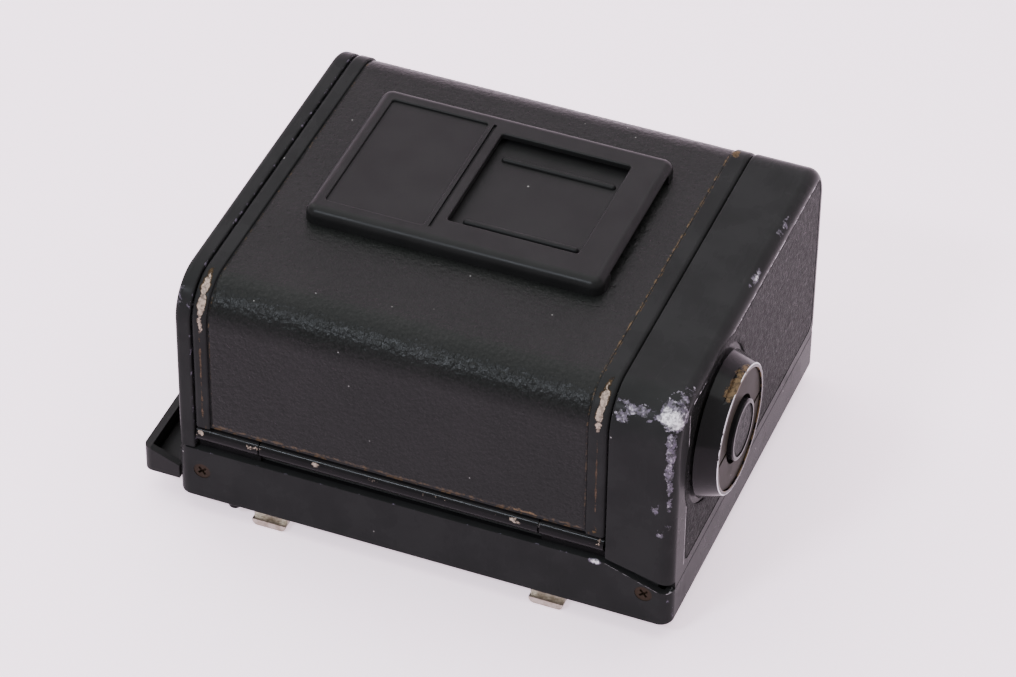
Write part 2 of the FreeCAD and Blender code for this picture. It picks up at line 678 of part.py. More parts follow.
def housing_field(x0, x1, grow):
    """Leatherette field of the housing: a rounded rectangle that bulges round the knob."""
    field = box(x0, x1, FIELD_Y[0] - grow, FIELD_Y[1] + grow, FIELD_Z[0] - grow, FIELD_Z[1] + grow)
    field = fillet_where(field, FIELD_CORNER_R, lambda e: e.BoundBox.XLength > x1 - x0 - TINY)
    bulge = rod_x(x0, x1, KNOB_Y, KNOB_Z, BULGE_R + grow)
    return fuse(field, bulge)


def housing_wedge():
    """Space below the sloping lower edge of the housing's near side."""
    x0, x1 = SEAM_X - OVER, HOUSING_OUT_X + OVER
    outline = [(x0, 0), (x0, HOUSING_SLOPE_Z[0]), (x1, HOUSING_SLOPE_Z[1]), (x1, 0)]
    return prism([Vector(x, -HALF_Y - OVER, z) for x, z in outline], Vector(0, HOUSING_SLOPE_DEEP, 0))


def drive_housing():
    shell = wrap(SEAM_X, HOUSING_OUT_X, 0, HOUSING_LOW_Z)
    shell = fillet_where(shell, HOUSING_EDGE_R,
                         lambda e: at_x(HOUSING_OUT_X)(e) and not below_z(HOUSING_LOW_Z)(e))
    shell = fillet_where(shell, SEAM_EDGE_R, lambda e: at_x(SEAM_X)(e) and not below_z(HOUSING_LOW_Z)(e))
    inner_x = SEAM_X + HOUSING_SEAM_T
    cavity = wrap(inner_x, HOUSING_OUT_X - HOUSING_T, HOUSING_T, 0)
    wedge = housing_wedge()
    shell = cut(shell, cavity, wedge, wedge.mirror(ORIGIN, Y_AXIS))
    tongue = box(SEAM_X, inner_x, -HOUSING_TONGUE[0], HOUSING_TONGUE[0], FLOOR_Z, HOUSING_TONGUE[1])
    ears = [box(*HOUSING_EAR_X, *both_sides(*HOUSING_EAR_Y, side), FLOOR_Z, HOUSING_EAR_Z)
            for side in (-1, 1)]
    holes = [
        housing_field(HOUSING_OUT_X - SKIN_T, HOUSING_OUT_X + OVER, 0),
        rod_x(SEAM_X - OVER, inner_x + OVER, KNOB_Y, KNOB_Z, SHAFT_R + RUN),
        rod_x(HOUSING_OUT_X - HOUSING_T - OVER, HOUSING_OUT_X + OVER, KNOB_Y, KNOB_Z, BEARING_R),
        window_seat(),
    ]
    holes += flange_screw_shanks(FLANGE_SCREWS[1])
    holes += [rod_x(SEAM_X - OVER, inner_x + OVER, *CENTRES[name], POST_R) for name in ("idler", "coupling")]
    return cut(fuse(shell, tongue, *ears), *holes)


def side_leatherette():
    skin = housing_field(HOUSING_OUT_X - SKIN_T, HOUSING_OUT_X, -SKIN_GAP)
    return cut(skin, rod_x(HOUSING_OUT_X - OVER, HOUSING_OUT_X + OVER, KNOB_Y, KNOB_Z, BULGE_BORE_R))


def window_pane(y0, y1):
    return box(WINDOW_X[0] - WINDOW_LEDGE, WINDOW_X[1] + WINDOW_LEDGE, y0, y1,
               WINDOW_Z[0] - WINDOW_LEDGE, WINDOW_Z[1] + WINDOW_LEDGE)


def window_seat():
    """Stepped opening of the frame counter in the housing's far wall."""
    through = box(*WINDOW_X, HALF_Y - 2 * HOUSING_T, HALF_Y, *WINDOW_Z)
    return fuse(window_pane(HALF_Y - PANE_Y[0], HALF_Y + OVER), through)


def counter_window():
    return window_pane(HALF_Y - PANE_Y[0], HALF_Y - PANE_Y[1])


def far_wall():
    """Fixed lower half of the far side; its tab hangs between the two latches."""
    x = SEAM_X - SEAM_GAP
    tab_x = LATCH_X - LATCH_HALF - LATCH_TRAVEL - OVER
    low_z = FLANGE_Z + HEAD_SINK
    wall = box(-x, x, HALF_Y - COVER_T, HALF_Y, low_z, FAR_WALL_HIGH_Z)
    tab = box(-tab_x, tab_x, *FAR_TAB_Y, *FAR_TAB_Z)
    step = box(-tab_x, tab_x, FAR_TAB_Y[0], FAR_STEP_Y, low_z, FAR_TAB_Z[1])
    recess = box(*PANEL_X, HALF_Y - SKIN_T - SKIN_SINK, HALF_Y + OVER, *FAR_SKIN_Z)
    return cut(fuse(wall, tab, step), recess, catch_hole(RUN))


def catch_hole(room):
    return rod_y(0, FAR_SEAL_Y[0] - OVER, HALF_Y + OVER, CATCH_Z, CATCH_R + room)


def far_wall_leatherette():
    skin = box(*PANEL_X, HALF_Y - SKIN_T - SKIN_SINK, HALF_Y - SKIN_SINK, *FAR_SKIN_Z)
    return cut(skin, catch_hole(CATCH_RIM))


def catch_button():
    """Round push button for the cover's catch."""
    button = rod_y(0, HALF_Y - CATCH_IN, HALF_Y + CATCH_OUT, CATCH_Z, CATCH_R)
    return fillet_where(button, CATCH_EDGE_R, lambda e: e.BoundBox.YMin > HALF_Y + CATCH_OUT - TINY)


def far_light_seal():
    """Foam strip behind the far wall's top edge, relieved for the catch tongue."""
    notch_x, notch_y = SEAL_NOTCH
    strip = box(-SEAL_HALF_X, SEAL_HALF_X, *FAR_SEAL_Y, *FAR_SEAL_Z)
    return cut(strip, box(-notch_x, notch_x, FAR_SEAL_Y[0] - OVER, notch_y,
                          FAR_SEAL_Z[0] - OVER, FAR_SEAL_Z[1] + OVER))


def near_light_seal():
    return box(-SEAL_HALF_X, SEAL_HALF_X, *NEAR_SEAL_Y, *NEAR_SEAL_Z)


# ---------------------------------------------------------------- hinge
def barrel(x0, x1):
    return rod_x(x0, x1, HINGE_Y, HINGE_Z, BARREL_R)


def hinge_leaf_frame():
    """Leaf inside the near flange with the hinge's two end knuckles."""
    solids = [box(-BARREL_END_X, BARREL_END_X, *FRAME_LEAF_Y, FLOOR_Z, FLANGE_Z - HEAD_SINK)]
    for side in (-1, 1):
        x0, x1 = both_sides(KNUCKLE_X + KNUCKLE_GAP, BARREL_END_X, side)
        solids.append(barrel(x0, x1))
        solids.append(box(x0, x1, *FRAME_LEAF_Y, FLANGE_Z - 2 * HEAD_SINK, HINGE_Z))
    bore = rod_x(-SEAM_X, SEAM_X, HINGE_Y, HINGE_Z, HINGE_PIN_R)
    lug_room = [box(x0 - HEAD_SINK, x1 + HEAD_SINK, -HALF_Y, LUG_ROOT_Y[1], 0, LUG_ROOT_Z + OVER)
                for x0, x1 in NEAR_LUG_X]
    return cut(fuse(*solids), bore, *flange_screw_shanks(FLANGE_SCREWS[0]), *lug_room)


def hinge_pin():
    return rod_x(-BARREL_END_X, BARREL_END_X, HINGE_Y, HINGE_Z, HINGE_PIN_R)


def rivet_holes():
    return [rod_y(x, RIVET_Y[0], RIVET_Y[2], RIVET_Z, RIVET_R) for x in rivet_places()]


def rivet_places():
    return [RIVET_PITCH * (i - (RIVET_COUNT - 1) / 2) for i in range(RIVET_COUNT)]


def cover_hinge_leaf():
    """Centre knuckle and the leaf riveted inside the cover's near wall."""
    x = KNUCKLE_X - KNUCKLE_GAP
    body = fuse(barrel(-x, x), box(-x, x, *COVER_LEAF_Y, HINGE_Z, COVER_LEAF_Z))
    return cut(body, rod_x(-SEAM_X, SEAM_X, HINGE_Y, HINGE_Z, HINGE_PIN_R + RUN), *rivet_holes())


def leaf_rivets():
    """Rivets that hold the hinge leaf to the cover's near wall."""
    return compound(fuse(rod_y(x, RIVET_Y[0], RIVET_Y[1], RIVET_Z, RIVET_R),
                         rod_y(x, RIVET_Y[1], RIVET_Y[2], RIVET_Z, RIVET_HEAD_R)) for x in rivet_places())


# ---------------------------------------------------------------- cover
def on_outside(e):
    """Edge test: the edge lies on the magazine's end outline."""
    b = e.BoundBox
    return b.YMin < -HALF_Y + TINY or b.YMax > HALF_Y - TINY or b.ZMax > TOP_Z - TINY


def above_far_lip(grow):
    """Block that takes away everything below the cover's far lip."""
    return box(-SEAM_X, SEAM_X, HALF_Y / 2, HALF_Y + 2 * OVER, 0, LIP_LOW_Z + grow)


def rear_cover():
    """Bent shell with a rounded rim at each end and a sunk field between them."""
    x = SEAM_X - SEAM_GAP
    shell = wrap(-x, x, 0, COVER_LOW_Z)
    shell = fillet_where(shell, COVER_EDGE_R,
                         lambda e: (at_x(x)(e) or at_x(-x)(e)) and not below_z(COVER_LOW_Z)(e))
    shell = cut(shell, wrap(-x - OVER, x + OVER, COVER_T, 0))
    ribs = [cut(wrap(x0, x1, RIB_INSET[0] + COVER_EDGE_R, COVER_LOW_Z), wrap(x0 - OVER, x1 + OVER, RIB_INSET[1], 0))
            for x0, x1 in ((-x, -x + RIB_T), (x - RIB_T, x))]
    low, high = PANEL_X[0] - PANEL_GROOVE, PANEL_X[1] + PANEL_GROOVE
    field = cut(wrap(low, high, -OVER, 0), wrap(low - OVER, high + OVER, COVER_SKIN_T + SKIN_SINK, 0),
                above_far_lip(FAR_PANEL_EDGE))
    shell = cut(shell, field)
    shell = fillet_where(shell, RIM_EDGE_R, lambda e: (at_x(low)(e) or at_x(high)(e)) and on_outside(e)
                         and e.Length > OVER)
    return cut(fuse(shell, *ribs), above_far_lip(0), *rivet_holes())


def cover_leatherette():
    skin = cut(wrap(*PANEL_X, SKIN_SINK, PANEL_LOW_Z),
               wrap(PANEL_X[0] - OVER, PANEL_X[1] + OVER, COVER_SKIN_T + SKIN_SINK, 0))
    return cut(skin, above_far_lip(FAR_PANEL_EDGE))


def latch_tongue():
    """Spring tongue of the cover's catch, hanging inside the fixed far wall."""
    inner, blade_y, foot_y = TONGUE_Y
    foot_x, foot_low, foot_high = TONGUE_FOOT
    blade_x, blade_low = TONGUE_BLADE
    notch_x, notch_low, notch_high = TONGUE_NOTCH
    foot = box(-foot_x, foot_x, inner, foot_y, LIP_LOW_Z + foot_low, LIP_LOW_Z + foot_high)
    blade = box(-blade_x, blade_x, inner, blade_y, blade_low, LIP_LOW_Z + foot_high)
    notch = box(-notch_x, notch_x, inner - OVER, foot_y, notch_low, notch_high)
    return cut(fuse(foot, blade), notch)


# ---------------------------------------------------------------- memo holder
def memo_holder():
    """Holder for a film-box end: blank panel on the left, window with a card slot on the right."""
    base_z = TOP_Z - SKIN_SINK
    body = rounded_slab(*MEMO_X, *MEMO_Y, base_z, MEMO_TOP_Z, MEMO_CORNER_R)
    body = fillet_where(body, MEMO_EDGE_R, lambda e: e.BoundBox.ZMin > MEMO_TOP_Z - TINY)
    blank = rounded_slab(*MEMO_PANEL_X, *MEMO_PANEL_Y, MEMO_TOP_Z - MEMO_PANEL_DEEP, MEMO_TOP_Z + OVER,
                         MEMO_INNER_R)
    window = rounded_slab(*MEMO_WINDOW_X, *MEMO_WINDOW_Y, base_z - OVER, MEMO_TOP_Z + OVER, MEMO_INNER_R)
    groove = box(*MEMO_GROOVE_X, *MEMO_PANEL_Y, MEMO_TOP_Z - MEMO_PANEL_DEEP, MEMO_TOP_Z + OVER)
    body = cut(body, blank, window, groove)
    inside = [(*MEMO_PANEL_X, *MEMO_PANEL_Y), (*MEMO_WINDOW_X, *MEMO_WINDOW_Y)]

    def rim_edge(e):
        b = e.BoundBox
        return b.ZMin > MEMO_TOP_Z - TINY and any(
            b.XMin > x0 - TINY and b.XMax < x1 + TINY and b.YMin > y0 - TINY and b.YMax < y1 + TINY
            for x0, x1, y0, y1 in inside)

    body = fillet_where(body, MEMO_PANEL_R, rim_edge)
    slot = box(*CARD_SLOT_X, *CARD_SLOT_Y, base_z - OVER, MEMO_TOP_Z - MEMO_FRAME_T)
    return cut(body, slot)


def memo_backplate():
    """Floor of the card slot with two round-backed ribs."""
    plate = box(CARD_SLOT_X[0], BACKPLATE_END_X, *CARD_SLOT_Y, TOP_Z - SKIN_SINK, MEMO_FLOOR_Z)
    z = MEMO_FLOOR_Z + MEMO_RIB_RISE
    ribs = []
    for x0, x1, y in MEMO_RIBS:
        ribs.append(rod_x(x0, x1, y, z, MEMO_RIB_R))
        ribs += [Part.makeSphere(MEMO_RIB_R, Vector(x, y, z)) for x in (x0, x1)]
    return fuse(plate, *ribs)


# ---------------------------------------------------------------- winding knob and shaft
def knob_rod(x0, x1, r):
    return rod_x(x0, x1, KNOB_Y, KNOB_Z, r)


def winding_ring():
    """Tapered ring of the knob, cupped in front, with a nail facet across its top edge."""
    cone = Part.makeCone(RING_BASE_R, RING_FRONT_R, RING_FRONT_X - RING_BACK_X,
                         Vector(RING_BACK_X, KNOB_Y, KNOB_Z), X_AXIS)
    cone = fillet_where(cone, RING_EDGE_R, at_x(RING_FRONT_X))
    facet = box(FACET_X, RING_FRONT_X + OVER, -FACET_HALF, FACET_HALF, FACET_REACH, RING_BASE_R + OVER)
    facet.rotate(ORIGIN, X_AXIS, FACET_TURN)
    facet.translate(Vector(0, KNOB_Y, KNOB_Z))
    cup = knob_rod(RING_FLOOR_X, RING_FRONT_X + OVER, RING_BORE_R)
    bore = knob_rod(RING_BACK_X - OVER, RING_FRONT_X, SHAFT_R)
    return cut(cone, cup, facet, bore, *key_pin_rods(0, 0))


def key_pin_rods(room, longer):
    """The two key pins, grown by a clearance."""
    half = KEY_PIN_HALF + longer
    return [rod_y(KEY_AXIS_X, KNOB_Y + side * KEY_PIN_OFFSET - half, KNOB_Y + side * KEY_PIN_OFFSET + half,
                  KNOB_Z, KEY_PIN_R + room) for side in (-1, 1)]


def key_pins():
    """Two short pins on which the folding half of the knob turns."""
    return compound(key_pin_rods(0, 0))


def knob_space(z0, z1):
    """Everything in front of the ring's floor between two heights."""
    reach = RING_BASE_R + OVER
    return box(RING_FLOOR_X - KEY_T, RING_FRONT_X + OVER, KNOB_Y - reach, KNOB_Y + reach, z0, z1)


def half_annulus(z0, z1):
    """Half ring of the knob's face between two heights."""
    disc = knob_rod(KEY_FRONT_X - KEY_T, KEY_FRONT_X, KEY_R)
    disc = cut(disc, knob_rod(KEY_FRONT_X - KEY_T - OVER, KEY_FRONT_X + OVER, KEY_BORE_R))
    return disc.common(knob_space(z0, z1))


def winding_key():
    """Folding half: its two legs end in round knuckles on the key pins."""
    half = half_annulus(KNOB_Z, KNOB_Z + RING_BASE_R)
    knuckle_r = KEY_FRONT_X - KEY_AXIS_X
    knuckles = []
    for side in (-1, 1):
        y0, y1 = both_sides(KEY_BORE_R + KEY_PIN_ROOM, KEY_R - RUN, side)
        knuckles.append(rod_y(KEY_AXIS_X, KNOB_Y + y0, KNOB_Y + y1, KNOB_Z, knuckle_r))
    reach = RING_BASE_R
    corner = cut(knob_space(KNOB_Z - RING_BASE_R, KNOB_Z),
                 rod_y(KEY_AXIS_X, KNOB_Y - reach, KNOB_Y + reach, KNOB_Z, knuckle_r))
    return cut(fuse(half, *knuckles), corner, *key_pin_rods(RUN, KEY_PIN_ROOM))


def knob_lower_half():
    return half_annulus(KNOB_Z - RING_BASE_R, KNOB_Z - KEY_SPLIT)


def knob_hub():
    """Centre disc with a raised rim round its leatherette inlay."""
    hub = fillet_where(knob_rod(RING_FLOOR_X, HUB_FRONT_X, HUB_R), HUB_EDGE_R, at_x(HUB_FRONT_X))
    inlay = knob_rod(HUB_FRONT_X - INLAY_DEEP - INLAY_SINK, HUB_FRONT_X + OVER, HUB_R - HUB_RIM)
    return cut(hub, inlay, knob_rod(RING_FLOOR_X - OVER, SHAFT_END_X, SHAFT_R))


def knob_leatherette():
    return knob_rod(HUB_FRONT_X - INLAY_DEEP - INLAY_SINK, HUB_FRONT_X - INLAY_SINK, HUB_R - HUB_RIM - SKIN_GAP)


def winding_shaft():
    """Shaft from the knob to the take-up spool, ending in a flat drive key."""
    half_width, half_thick, round_r = SPOOL_KEY
    shaft = knob_rod(SHAFT_LEFT_X, SHAFT_END_X, SHAFT_R)
    stub = knob_rod(*SPOOL_KEY_X, SPOOL_KEY_STUB_R)
    key = box(*SPOOL_KEY_X, KNOB_Y - half_width, KNOB_Y + half_width, KNOB_Z - half_thick, KNOB_Z + half_thick)
    return fuse(shaft, stub, key.common(knob_rod(*SPOOL_KEY_X, round_r)))


def winding_gear():
    """Large gear and counter pinion in one piece, pressed on the shaft."""
    large = gear(WINDING_TEETH, MODULE_A, PLANE_A, KNOB_Y, KNOB_Z, PHASES["winding"], SHAFT_R)
    pinion = gear(PINION_TEETH, MODULE_B, PLANE_B, KNOB_Y, KNOB_Z, PHASES["pinion"], SHAFT_R)
    sleeve = cut(knob_rod(PLANE_A + GEAR_T, PLANE_B, SLEEVE_R), knob_rod(PLANE_A, PLANE_B + OVER, SHAFT_R))
    return fuse(large, sleeve, pinion)


def shaft_clip():
    """Open spring clip that keeps the shaft from pulling out."""
    mouth, reach = CLIP_MOUTH
    ring = cut(knob_rod(*CLIP_X, CLIP_R), knob_rod(CLIP_X[0] - OVER, CLIP_X[1] + OVER, SHAFT_R))
    return cut(ring, box(CLIP_X[0] - OVER, CLIP_X[1] + OVER, KNOB_Y - mouth, KNOB_Y + mouth,
                         KNOB_Z, KNOB_Z + reach))


def knob_bearing():
    return cut(knob_rod(BEARING_X, HOUSING_OUT_X, BEARING_R),
               knob_rod(BEARING_X - OVER, HOUSING_OUT_X + OVER, SHAFT_R + RUN))


def take_up_spool():
    """Empty 120-size spool: slotted core between two flanges."""
    inner_x = SPOOL_HALF_X - SPOOL_FLANGE_T
    slot_x, slot_y = SPOOL_SLOT
    socket_x, socket_r = SPOOL_SOCKET
    way_x, way_y, way_z = SPOOL_KEYWAY
    spool = fuse(knob_rod(-inner_x, inner_x, SPOOL_CORE_R), knob_rod(-SPOOL_HALF_X, -inner_x, SPOOL_R),
                 knob_rod(inner_x, SPOOL_HALF_X, SPOOL_R))
    slot = box(-slot_x, slot_x, KNOB_Y - slot_y, KNOB_Y + slot_y,
               KNOB_Z - SPOOL_CORE_R - OVER, KNOB_Z + SPOOL_CORE_R + OVER)
    sockets = [knob_rod(*both_sides(socket_x, SPOOL_HALF_X + OVER, side), socket_r) for side in (-1, 1)]
    key_way = box(way_x, SPOOL_HALF_X + OVER, KNOB_Y - way_y, KNOB_Y + way_y, KNOB_Z - way_z, KNOB_Z + way_z)
    return cut(spool, slot, key_way, *sockets)


# ---------------------------------------------------------------- gear train
def train_gear(name, teeth, module, x0):
    return gear(teeth, module, x0, *CENTRES[name], PHASES[name], POST_R + RUN)


def compound_gear():
    y, z = CENTRES["compound"]
    small = gear(SMALL_TEETH, MODULE_B, PLANE_C, y, z, PHASES["small"], POST_R + RUN)
    neck = cut(rod_x(PLANE_B + GEAR_T, PLANE_C, y, z, NECK_R),
               rod_x(PLANE_B, PLANE_C + OVER, y, z, POST_R + RUN))
    return fuse(train_gear("compound", COMPOUND_TEETH, MODULE_B, PLANE_B), neck, small)


def counter_dial():
    """Frame-counter drum with its driving gear."""
    y, z = CENTRES["dial"]
    wheel = train_gear("dial", DIAL_TEETH, MODULE_B, PLANE_C)
    hollow = cut(rod_x(DIAL_X - OVER, DIAL_WEB_X, y, z, DIAL_INNER_R),
                 rod_x(DIAL_X - 2 * OVER, DIAL_WEB_X + OVER, y, z, DIAL_HUB_R))
    drum = cut(rod_x(DIAL_X, PLANE_C, y, z, DIAL_R), hollow,
               rod_x(DIAL_X - OVER, PLANE_C + OVER, y, z, POST_R + RUN))
    return fuse(wheel, drum)


def gear_plate():
    """Plate that carries the counter's posts, under the housing's outer wall."""
    x0, x1 = COUNTER_PLATE_X
    plate = box(x0, x1, *COUNTER_PLATE_Y, *COUNTER_PLATE_Z)
    plate = fillet_where(plate, COUNTER_PLATE_R, lambda e: e.BoundBox.XLength > x1 - x0 - TINY)
    return cut(plate, *[rod_x(x0 - OVER, x1 + OVER, *CENTRES[name], POST_R) for name in COUNTER_POSTS_X])


def gear_posts():
    posts = [rod_x(SEAM_X, PLANE_A + GEAR_T + POST_END, *CENTRES[name], POST_R)
             for name in ("idler", "coupling")]
    posts += [rod_x(x0, COUNTER_PLATE_X[1], *CENTRES[name], POST_R) for name, x0 in COUNTER_POSTS_X.items()]
    return compound(posts)


# ---------------------------------------------------------------- film insert
def insert_outline(x0, x1):
    """Side plate of the insert: two lobes round the spools on a straight foot."""
    take_up = rod_x(x0, x1, KNOB_Y, KNOB_Z, LOBE_R[0])
    supply = rod_x(x0, x1, SUPPLY_Y, SUPPLY_Z, LOBE_R[1])
    foot = box(x0, x1, *PLATE_FOOT_Y, FLOOR_Z, PLATE_FOOT_Z)
    foot = fillet_where(foot, PLATE_FOOT_R, lambda e: e.BoundBox.XLength > x1 - x0 - TINY)
    middle = box(x0, x1, KNOB_Y, SUPPLY_Y, *PLATE_MIDDLE_Z)
    return fuse(foot, take_up, supply, middle)


def insert_plate(side):
    x0, x1 = PLATE_X
    take_up_r = DRIVE_HOLE_R if side > 0 else HOLDER_R + RUN
    holes = [rod_x(x0 - OVER, x1 + OVER, s * ROLLER_Y, ROLLER_Z, AXLE_R + RUN) for s in (-1, 1)]
    holes.append(rod_x(x0 - OVER, x1 + OVER, SUPPLY_Y, SUPPLY_Z, HOLDER_R + RUN))
    holes.append(rod_x(x0 - OVER, x1 + OVER, KNOB_Y, KNOB_Z, take_up_r))
    plate = cut(insert_outline(x0, x1), *holes)
    return plate if side > 0 else plate.mirror(ORIGIN, X_AXIS)


def insert_bridge():
    """Backing plate over the gate and the box between the two spool chambers."""
    x = PLATE_X[0]
    base = box(-x, x, -BRIDGE_HALF_Y, BRIDGE_HALF_Y, *BRIDGE_Z)
    webs = [box(-x, x, y0, y1, BRIDGE_Z[1], ROOF_Z[1]) for y0, y1 in WEB_Y]
    roof = box(-x, x, WEB_Y[0][0], WEB_Y[1][1], *ROOF_Z)
    holes = [rod_z(px, py, BRIDGE_Z[0] - OVER, BRIDGE_Z[1] + OVER, STUD_R + RUN) for px, py in stud_places()]
    return cut(fuse(base, roof, *webs), *holes)


def stud_places():
    return [(sx * STUD_AT[0], sy * STUD_AT[1]) for sx in (-1, 1) for sy in (-1, 1)]


def pressure_plate():
    """Plate that holds the film flat, guided by four studs."""
    x, y, corner_r = PRESS_PLATE
    plate = rounded_slab(-x, x, -y, y, *PRESS_PLATE_Z, corner_r)
    return fuse(plate, *[rod_z(px, py, PRESS_PLATE_Z[0], STUD_TOP_Z, STUD_R) for px, py in stud_places()])


def pressure_springs():
    """Two bowed leaf springs between the bridge and the pressure plate."""
    high = BRIDGE_Z[0] - SPRING_T
    low = PRESS_PLATE_Z[1] + SPRING_GAP
    return compound(leaf_spring(side * SPRING_Y - SPRING_HALF_W, low, high) for side in (-1, 1))


def leaf_spring(y, low, high):
    def bow(lift):
        ends = [Vector(side * SPRING_HALF_X, y, high + lift) for side in (-1, 1)]
        return Part.Arc(ends[0], Vector(0, y, low + lift), ends[1]).toShape()

    tips = [Part.makeLine(Vector(side * SPRING_HALF_X, y, high), Vector(side * SPRING_HALF_X, y, high + SPRING_T))
            for side in (-1, 1)]
    wire = Part.Wire([bow(0), tips[1], bow(SPRING_T), tips[0]])
    return Part.Face(wire).extrude(Vector(0, 2 * SPRING_HALF_W, 0))


def guide_roller(side):
    """Film roller with a shallow waist, turning with its axle."""
    x, y = PLATE_X[0] - ROLLER_END_GAP, side * ROLLER_Y
    waist_x, waist_deep = ROLLER_WAIST
    body = rod_x(-x, x, y, ROLLER_Z, ROLLER_R)
    waist = cut(rod_x(-waist_x, waist_x, y, ROLLER_Z, ROLLER_R + OVER),
                rod_x(-waist_x - OVER, waist_x + OVER, y, ROLLER_Z, ROLLER_R - waist_deep))
    return fuse(cut(body, waist), rod_x(-PLATE_X[1], PLATE_X[1], y, ROLLER_Z, AXLE_R))


def spool_holder(y, z):
    """Sprung pin on the left plate that a spool's end turns on."""
    pin = rod_x(-HOLDER_X[1], -HOLDER_X[0], y, z, HOLDER_R)
    pin = fillet_where(pin, HOLDER_EDGE_R, at_x(-HOLDER_X[0]))
    return fuse(pin, rod_x(-COLLAR_X[1], -COLLAR_X[0], y, z, COLLAR_R))


def supply_hub():
    """Turning hub on the right plate that brakes the supply roll."""
    return fuse(rod_x(*HOLDER_X, SUPPLY_Y, SUPPLY_Z, HOLDER_R),
                rod_x(*HUB_COLLAR_X, SUPPLY_Y, SUPPLY_Z, HUB_COLLAR_R))


# ---------------------------------------------------------------- dark slide
def dark_slide():
    sheet = box(*SHEET_X, -SHEET_HALF_Y, SHEET_HALF_Y, *SHEET_Z)
    corners = upright(SHEET_Z[1] - SHEET_Z[0])
    return fillet_where(sheet, SHEET_CORNER_R, lambda e: corners(e) and e.BoundBox.XMin > 0)


def slide_handle():
    """Scooped pull: a shallow tray whose end arms slope down towards the frame."""
    x0, x1 = HANDLE_X
    z0, z1 = HANDLE_Z
    outline = [(x0, z0), (x0, z1), (x0 + HANDLE_T, z1), (x1, HANDLE_ARM_Z), (x1, z0)]
    body = prism([Vector(x, -HANDLE_HALF_Y, z) for x, z in outline], Vector(0, 2 * HANDLE_HALF_Y, 0))
    body = fillet_where(body, HANDLE_CORNER_R, upright(z1 - z0))
    inner_y = HANDLE_HALF_Y - HANDLE_T
    scoop = box(x0 + HANDLE_T, x1 + OVER, -inner_y, inner_y, HANDLE_FLOOR_Z, z1 + OVER)
    return cut(body, scoop, dark_slide())


# ---------------------------------------------------------------- assembly
def sub_parts():
    """Every sub-part by name."""
    return {
        "mount_frame": mount_frame(),
        "left_end_cap": left_end_cap(),
        "left_cap_leatherette": left_cap_leatherette(),
        "drive_housing": drive_housing(),
        "side_leatherette": side_leatherette(),
        "counter_window": counter_window(),
        "far_wall": far_wall(),
        "far_wall_leatherette": far_wall_leatherette(),
        "far_light_seal": far_light_seal(),
        "near_light_seal": near_light_seal(),
        "flange_screws": flange_screws(),
        "mating_face_screws": mating_face_screws(),
        "left_hook_lug": hook_lug(*NEAR_LUG_X[0]),
        "right_hook_lug": hook_lug(*NEAR_LUG_X[1]),
        "locating_pins": locating_pins(),
        "contact_block": contact_block(),
        "contact_pins": contact_pins(),
        "left_latch": latch(-1),
        "right_latch": latch(1),
        "catch_button": catch_button(),
        "hinge_leaf_frame": hinge_leaf_frame(),
        "hinge_pin": hinge_pin(),
        "cover_hinge_leaf": cover_hinge_leaf(),
        "leaf_rivets": leaf_rivets(),
        "rear_cover": rear_cover(),
        "cover_leatherette": cover_leatherette(),
        "memo_holder": memo_holder(),
        "memo_backplate": memo_backplate(),
        "latch_tongue": latch_tongue(),
        "winding_ring": winding_ring(),
        "winding_key": winding_key(),
        "key_pins": key_pins(),
        "knob_lower_half": knob_lower_half(),
        "knob_hub": knob_hub(),
        "knob_leatherette": knob_leatherette(),
        "knob_bearing": knob_bearing(),
        "winding_shaft": winding_shaft(),
        "shaft_clip": shaft_clip(),
        "winding_gear": winding_gear(),
        "take_up_spool": take_up_spool(),
        "idler_gear": train_gear("idler", IDLER_TEETH, MODULE_A, PLANE_A),
        "coupling_gear": train_gear("coupling", COUPLING_TEETH, MODULE_A, PLANE_A),
        "compound_gear": compound_gear(),
        "counter_idler": train_gear("counter_idler", COUNTER_IDLER_TEETH, MODULE_B, PLANE_C),
        "counter_dial": counter_dial(),
        "gear_plate": gear_plate(),
        "gear_posts": gear_posts(),
        "insert_left_plate": insert_plate(-1),
        "insert_right_plate": insert_plate(1),
        "insert_bridge": insert_bridge(),
        "pressure_plate": pressure_plate(),
        "pressure_springs": pressure_springs(),
        "near_guide_roller": guide_roller(-1),
        "far_guide_roller": guide_roller(1),
        "take_up_holder": spool_holder(KNOB_Y, KNOB_Z),
        "supply_holder": spool_holder(SUPPLY_Y, SUPPLY_Z),
        "supply_hub": supply_hub(),
        "dark_slide": dark_slide(),
        "slide_handle": slide_handle(),
    }


os.makedirs("parts", exist_ok=True)
for name, shape in sub_parts().items():
    shape.exportStep("parts/" + name + ".step")
    state = "valid" if shape.isValid() else "INVALID"
    print(name, state, len(shape.Solids), round(shape.Volume, 2))
print("train centres (y, z):", {k: (round(y, 4), round(z, 4)) for k, (y, z) in CENTRES.items()})
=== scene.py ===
"""Looks for the roll-film magazine: lacquer, leatherette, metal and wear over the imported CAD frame."""

import math

import bpy
import numpy as np
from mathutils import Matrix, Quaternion, Vector


